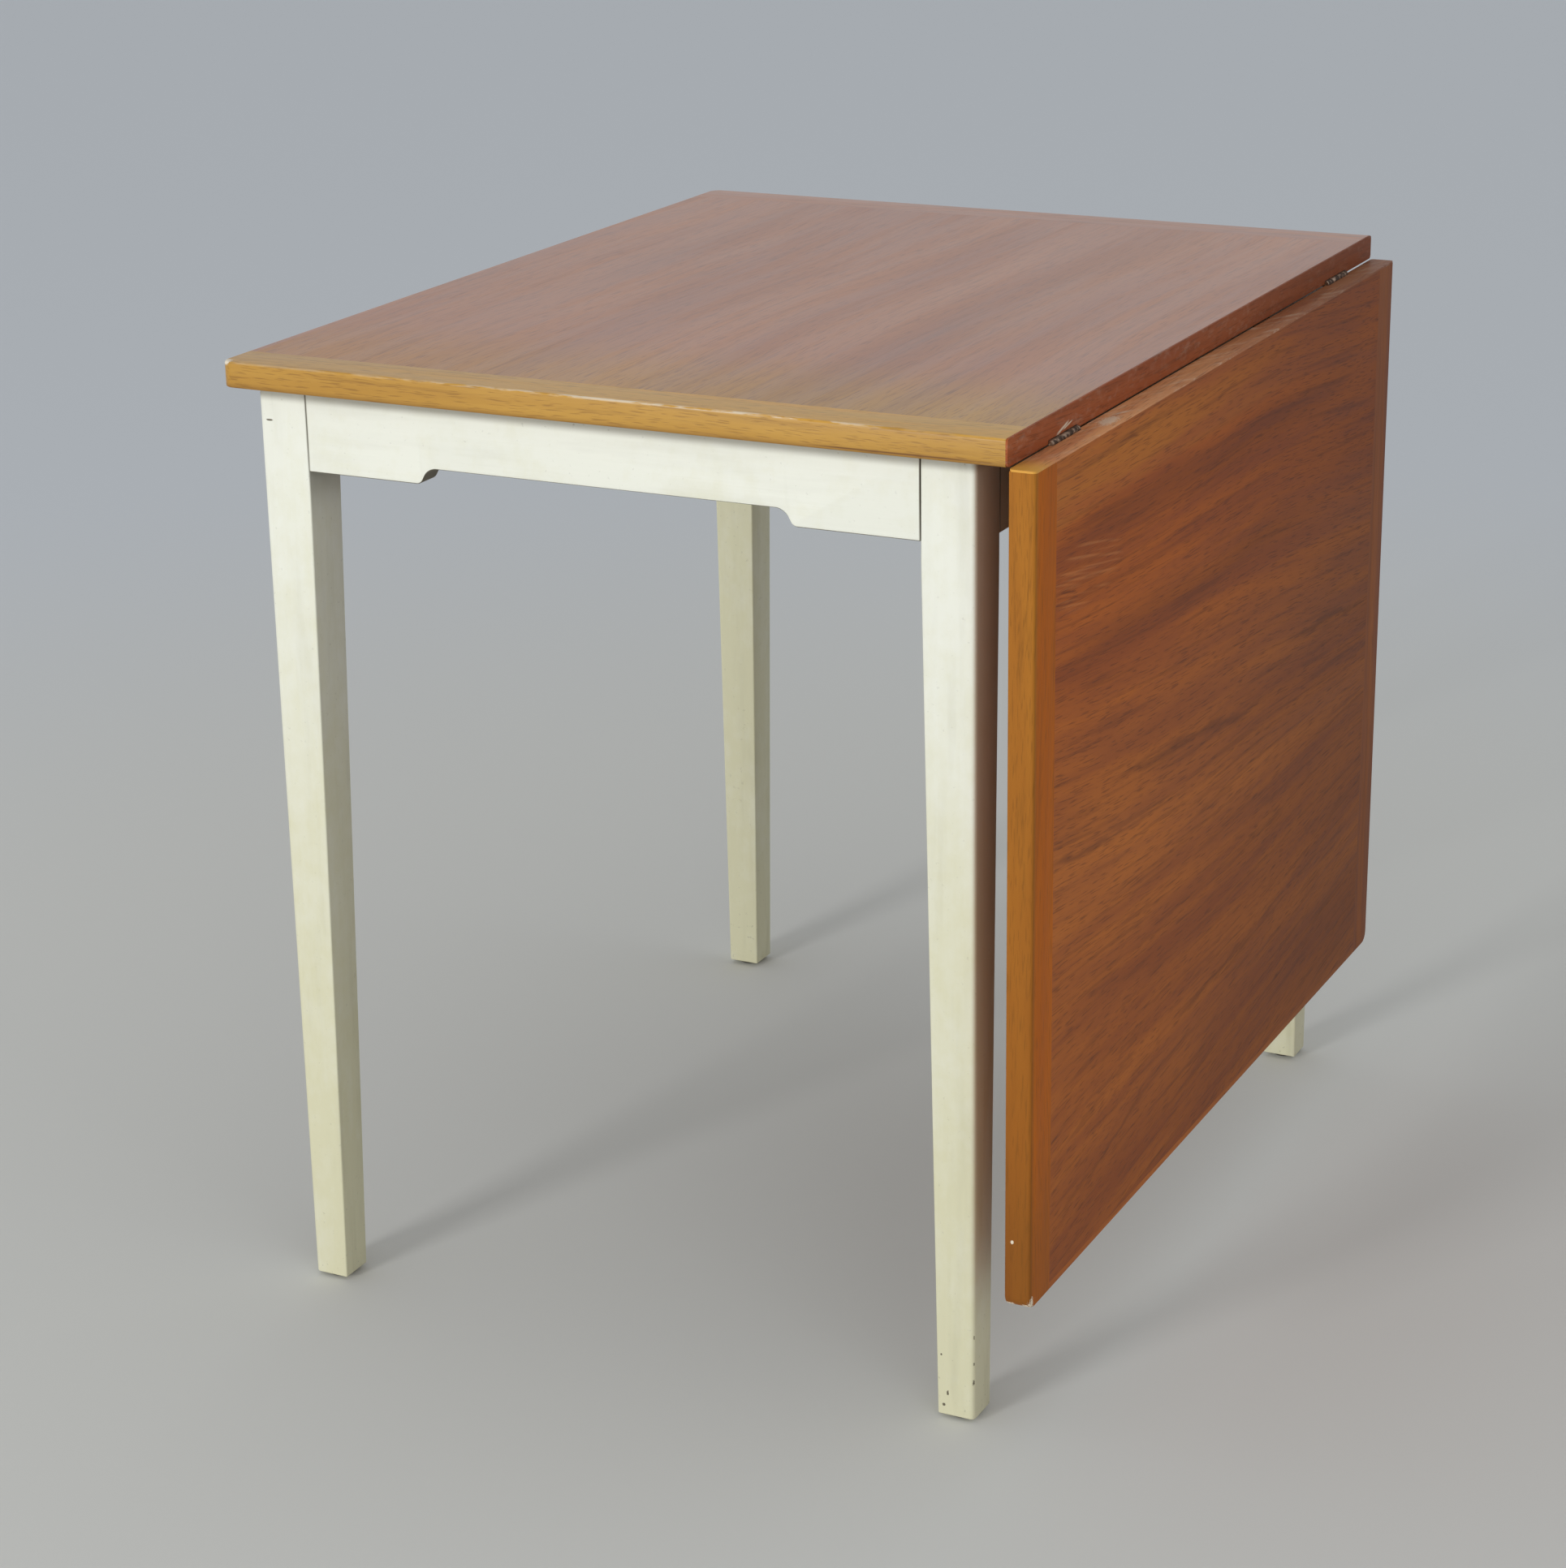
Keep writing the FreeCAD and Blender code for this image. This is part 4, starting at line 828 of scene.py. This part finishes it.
def make_plain_woods(colours):
    """Woods that have no marks of their own."""
    veneer, leaf, backing = (
        (*pair(colours, wood), colours.veneer_vein) for wood in ("veneer", "leaf", "backing")
    )
    beech = (*pair(colours, "beech"), colours.backing_light)
    for name, axis in (("top_rear_lipping", "X"), ("top_left_edging", "Y")):
        wood_material(name, axis, veneer, (0.6, 0.4, 0.28, 0.55), 0.40, coat=0.22)
    for name, axis in (("leaf_rear_lipping", "Z"), ("leaf_free_edging", "Y")):
        wood_material(name, axis, leaf, (0.5, 0.5, 0.2, 0.3), 0.5, shine=0.1, leaf_shade=colours.leaf_shade)
    wood_material("backing_veneer", "Y", backing, (0.6, 0.5, 0.3, 0.4), 0.6)
    for direction, axis in (("along", "X"), ("across", "Y"), ("upright", "Z")):
        wood_material("bare_beech_" + direction, axis, beech, (0.5, 0.4, 0.12, 0.5), 0.62)


# Pieces


class TABLE_OT_finishes(bpy.types.Operator):
    """Builds the woods, the paint, the metal and the plastic"""

    bl_idname = "table.finishes"
    bl_label = "Finishes"
    bl_options = {"REGISTER", "UNDO"}

    def execute(self, context):
        colours = context.scene.table_finish
        make_wood_group()
        make_paint_group()
        make_top_veneer(colours)
        make_top_lipping(colours)
        make_leaf_veneer(colours)
        make_leaf_lipping(colours)
        red = pair(colours, "hinge_edge")
        worn = (colours.worn_wood, colours.hinge_edge_light)
        make_hinge_edging(colours, "hinge_edging", red, golden=0.0, scuffs=0.14, rear_darkening=0.5)
        make_hinge_edging(colours, "worn_edging", worn, golden=0.9, scuffs=0.60, rear_darkening=0.7)
        make_plain_woods(colours)
        for axis in GRAIN_ALONG:
            make_paint(colours, "cream_paint_" + axis.lower(), axis)
        # Darker paint for the faces of the aprons that look down
        darkened_under = (colours.underside, colours.paint_dirt_and_shade, colours.paint_dirt_and_shade)
        wood_material("grimy_underside", "X", darkened_under, (0.5, 0.5, 0.2, 0.3), 0.7)
        make_chipboard(colours)
        make_steel(colours)
        make_plastic(colours)
        return {"FINISHED"}


def round_rims(piece, shape, thick, low, high, is_rim):
    """Rounds the rims of a board's face and backing, which is_rim() tells by their plane."""
    for level, radius in ((high[thick], shape.board_arris), (low[thick], shape.under_arris)):
        round_edges(piece, radius, lambda edge: is_rim(edge, (thick, level)), segments=5)


def make_board(shape, board, body, free_edging, hinge_finish, across, thick):
    """Models a board's lippings and free edging and finishes its other pieces.

    The board lies across one axis from its free edge to its hinges, and another is that of its thickness.
    """
    low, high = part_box(board + "_front_lipping")
    high.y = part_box(board + "_face_veneer")[0].y
    lipping = add_block(board + "_front_lipping_shaped", low, high)
    outer_corner = ((across, low[across]), (1, low.y))
    glued = ((1, high.y), (across, high[across]))
    with edit_mode(lipping):
        round_edges(lipping, shape.corner_radius, lambda edge: lies_on(edge, *outer_corner), segments=8)
        round_rims(lipping, shape, thick, low, high, lambda edge, face: is_outer_rim(edge, face, glued))
    smooth_by_angle(lipping)
    rear = copy_piece(lipping, board + "_rear_lipping_shaped", mirror=1)
    dress(lipping, board + "_lipping", body, "teak_lipping", board + "_front_lipping")
    dress(rear, board + "_rear_lipping", body, "teak_lipping", board + "_rear_lipping")
    low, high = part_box(free_edging)
    edging = add_block(free_edging + "_shaped", low, high)
    free_side = (across, low[across])
    with edit_mode(edging):
        round_rims(edging, shape, thick, low, high, lambda edge, face: lies_on(edge, free_side, face))
    smooth_by_angle(edging)
    dress(edging, free_edging, body, "teak_edging", free_edging)
    finish_node(board + "_hinge_edging", hinge_finish)
    finish_node(board + "_face_veneer", board + "_veneer")
    finish_node(board + "_backing_veneer", "backing_veneer")
    finish_node(board + "_core", "chipboard")


class TABLE_OT_top_board(bpy.types.Operator):
    """Models the top's lippings and edgings and finishes its veneers and core"""

    bl_idname = "table.top_board"
    bl_label = "Top board"
    bl_options = {"REGISTER", "UNDO"}

    def execute(self, context):
        shape = context.scene.table_shape
        make_board(shape, "top", "table", "top_left_edging", "hinge_edging", across=0, thick=2)
        return {"FINISHED"}


class TABLE_OT_leaf_board(bpy.types.Operator):
    """Models the leaf's lippings and edgings and finishes its veneers and core"""

    bl_idname = "table.leaf_board"
    bl_label = "Leaf board"
    bl_options = {"REGISTER", "UNDO"}

    def execute(self, context):
        shape = context.scene.table_shape
        make_board(shape, "leaf", "leaf", "leaf_free_edging", "worn_edging", across=2, thick=0)
        return {"FINISHED"}


class TABLE_OT_legs(bpy.types.Operator):
    """Models one tapered leg and copies it to the four corners"""

    bl_idname = "table.legs"
    bl_label = "Legs"
    bl_options = {"REGISTER", "UNDO"}

    def execute(self, context):
        shape = context.scene.table_shape
        first = next(iter(LEG_TURNS))
        low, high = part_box(first)
        leg = add_block(first + "_painted", low, high)
        with edit_mode(leg):
            cut_across(2, shape.taper_start)
            for axis in (0, 1):
                draw_in = shape.foot_size - (high[axis] - low[axis])
                pick(
                    leg, "VERT",
                    lambda vertex: close(vertex.co.z, low.z) and close(vertex.co[axis], high[axis]),
                )
                bpy.ops.transform.translate(value=on_axis(axis, draw_in))
            outermost = ((0, low.x), (1, low.y))
            round_edges(
                leg, shape.leg_corner,
                lambda edge: runs_along(edge, 2) and lies_on(edge, *outermost),
                segments=6,
            )
            round_edges(
                leg, shape.leg_arris,
                lambda edge: runs_along(edge, 2) and edge.calc_face_angle() > SHARP_EDGE,
                segments=4,
            )
            round_edges(leg, shape.foot_arris, lambda edge: lies_on(edge, (2, low.z)), segments=3)
        smooth_by_angle(leg)
        centre = (low + high) / 2
        for node, turns in LEG_TURNS.items():
            piece = leg
            if turns:
                angle_round = turns * QUARTER_TURN
                node_low, node_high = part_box(node)
                shift = (node_low + node_high) / 2 - Matrix.Rotation(angle_round, 3, "Z") @ centre
                piece = copy_piece(leg, node + "_painted", turn=angle_round, shift=shift)
            dress(piece, "cream_paint_z", "table", "cream_paint", node)
        return {"FINISHED"}


def make_apron(shape, node, along, start, end):
    """An apron between two legs, with its lower edge raised in the middle through double curves."""
    low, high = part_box(node)
    low.z = high.z - shape.apron_depth
    low[along] = start
    high[along] = end
    apron = add_block(node + "_painted", low, high)
    foot = shape.apron_flat + shape.apron_nose
    brow = foot + shape.apron_slope
    raised = low.z + shape.apron_rise
    across = 1 - along
    with edit_mode(apron):
        feet = (start + foot, end - foot)
        brows = (start + brow, end - brow)
        for place in feet + brows:
            cut_across(along, place)
        pick(
            apron, "VERT",
            lambda vertex: close(vertex.co.z, low.z) and brows[0] - NEAR < vertex.co[along] < brows[1] + NEAR,
        )
        bpy.ops.transform.translate(value=on_axis(2, shape.apron_rise))
        for corners, level, reach in ((feet, low.z, shape.apron_nose), (brows, raised, shape.apron_cove)):
            round_edges(
                apron, reach,
                lambda edge: runs_along(edge, across) and close(middle(edge).z, level)
                and any(close(middle(edge)[along], place) for place in corners),
                segments=7,
            )
        round_edges(
            apron, shape.apron_arris,
            lambda edge: any(face.normal.z < DOWN_TO_ROUND for face in edge.link_faces)
            and any(abs(face.normal[across]) > MOSTLY for face in edge.link_faces),
            segments=3,
        )
    smooth_by_angle(apron)
    return apron


def finish_underside(piece, finish):
    """Gives the faces that look down a finish of their own."""
    piece.data.materials.append(bpy.data.materials[finish])
    for face in piece.data.polygons:
        if face.normal.z < DOWN_TO_FINISH:
            face.material_index = len(piece.data.materials) - 1


class TABLE_OT_aprons(bpy.types.Operator):
    """Models the aprons between the legs"""

    bl_idname = "table.aprons"
    bl_label = "Aprons"
    bl_options = {"REGISTER", "UNDO"}

    def execute(self, context):
        shape = context.scene.table_shape
        seam = shape.apron_seam
        left_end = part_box("leg_front_left")[1]
        right_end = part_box("leg_front_right")[0]
        rear_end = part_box("leg_rear_left")[0]
        sideways = (0, left_end.x + seam, right_end.x - seam)
        backwards = (1, left_end.y + seam, rear_end.y - seam)
        for node, paint, run in (
            ("apron_front", "cream_paint_x", sideways),
            ("apron_rear", "cream_paint_x", sideways),
            ("apron_left", "cream_paint_y", backwards),
        ):
            apron = make_apron(shape, node, *run)
            dress(apron, paint, "table", "cream_paint", node)
            finish_underside(apron, "grimy_underside")
        finish_node("apron_right", "cream_paint_y")
        return {"FINISHED"}


class TABLE_OT_fittings(bpy.types.Operator):
    """Finishes the hinges, screws, glides and the leaf's supports"""

    bl_idname = "table.fittings"
    bl_label = "Fittings"
    bl_options = {"REGISTER", "UNDO"}

    def execute(self, context):
        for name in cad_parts:
            for pattern, finish in FITTINGS.items():
                if fnmatch(name, pattern):
                    finish_node(name, finish)
                    break
        return {"FINISHED"}


class TABLE_OT_stage(bpy.types.Operator):
    """Lays the floor and sets the light and the camera"""

    bl_idname = "table.stage"
    bl_label = "Stage"
    bl_options = {"REGISTER", "UNDO"}

    def execute(self, context):
        stage = context.scene.table_stage
        self.lay_floor(stage)
        self.set_light(context, stage)
        self.set_camera(context, stage)
        context.scene.view_settings.view_transform = "Standard"
        return {"FINISHED"}

    def lay_floor(self, stage):
        clear_selection()
        bpy.ops.mesh.primitive_plane_add(size=FLOOR_SIZE, location=(0.0, 0.0, 0.0))
        floor = bpy.context.object
        floor.name = "studio_floor"
        tree, shader, place = new_material("studio_floor")
        far = spread(tree, distance(tree, place), stage.floor_near, stage.floor_far)
        pale = mix_colour(tree, far, stage.floor_colour, stage.floor_far_colour)
        feed_named(tree, shader, Base_Color=pale, Roughness=0.8)
        floor.data.materials.append(bpy.data.materials["studio_floor"])

    def add_lamp(self, context, name, place, size, power):
        clear_selection()
        bpy.ops.object.light_add(type="AREA", location=place)
        lamp = context.object
        lamp.name = name
        travel = Vector(context.scene.table_stage.lamp_aim) - Vector(place)
        lamp.rotation_euler = travel.to_track_quat("-Z", "Y").to_euler()
        lamp.data.energy = power
        lamp.data.shape = "RECTANGLE"
        lamp.data.size, lamp.data.size_y = size

    def set_light(self, context, stage):
        key_size = (stage.key_width, stage.key_height)
        side_size = (stage.side_size, stage.side_size)
        self.add_lamp(context, "key_lamp", stage.key_place, key_size, stage.key_power)
        self.add_lamp(context, "side_lamp", stage.side_place, side_size, stage.side_power)
        world = bpy.data.worlds.new("studio")
        context.scene.world = world
        world.use_nodes = True
        tree = world.node_tree
        fill = tree.nodes["Background"]
        feed_named(tree, fill, Color=stage.fill_colour, Strength=stage.fill_strength)
        seen = add_node(tree, "Background", Color=stage.backdrop_colour, Strength=1.0)
        path = add_node(tree, "LightPath")
        direct = calc(tree, "ADD", path.outputs["Is Camera Ray"], path.outputs["Is Glossy Ray"])
        direct = calc(tree, "ADD", direct, path.outputs["Is Transmission Ray"])
        mix = add_node(tree, "MixShader")
        for socket, value in zip(mix.inputs, (direct, fill.outputs[0], seen.outputs[0])):
            feed(tree, socket, value)
        feed(tree, tree.nodes["World Output"].inputs["Surface"], mix.outputs[0])

    def set_camera(self, context, stage):
        clear_selection()
        bpy.ops.object.camera_add()
        camera = context.object
        camera.name = "photo_camera"
        camera.matrix_world = (
            Matrix.Translation(stage.camera_place)
            @ Matrix.Rotation(stage.camera_azimuth, 4, "Z")
            @ Matrix.Rotation(QUARTER_TURN - stage.camera_elevation, 4, "X")
            @ Matrix.Rotation(stage.camera_roll, 4, "Z")
        )
        camera.data.lens = stage.camera_lens
        camera.data.sensor_width = SENSOR_WIDTH
        context.scene.camera = camera


class TABLE_PT_panel(bpy.types.Panel):
    """Lists the steps that make the table"""

    bl_label = "Drop-leaf table"
    bl_idname = "TABLE_PT_panel"
    bl_space_type = "VIEW_3D"
    bl_region_type = "UI"
    bl_category = "Table"

    def draw(self, context):
        for step in STEPS:
            self.layout.operator(step.bl_idname)


STEPS = (
    TABLE_OT_finishes,
    TABLE_OT_top_board,
    TABLE_OT_leaf_board,
    TABLE_OT_legs,
    TABLE_OT_aprons,
    TABLE_OT_fittings,
    TABLE_OT_stage,
)
SETTINGS = {"table_shape": TableShape, "table_finish": TableFinish, "table_stage": TableStage}
CLASSES = (*SETTINGS.values(), *STEPS, TABLE_PT_panel)


def register():
    for item in CLASSES:
        bpy.utils.register_class(item)
    for name, group in SETTINGS.items():
        setattr(bpy.types.Scene, name, PointerProperty(type=group))


def unregister():
    for name in SETTINGS:
        delattr(bpy.types.Scene, name)
    for item in reversed(CLASSES):
        bpy.utils.unregister_class(item)


def main():
    register()
    bpy.ops.table.finishes()
    bpy.ops.table.top_board()
    bpy.ops.table.leaf_board()
    bpy.ops.table.legs()
    bpy.ops.table.aprons()
    bpy.ops.table.fittings()
    bpy.ops.table.stage()


if __name__ == "__main__":
    main()
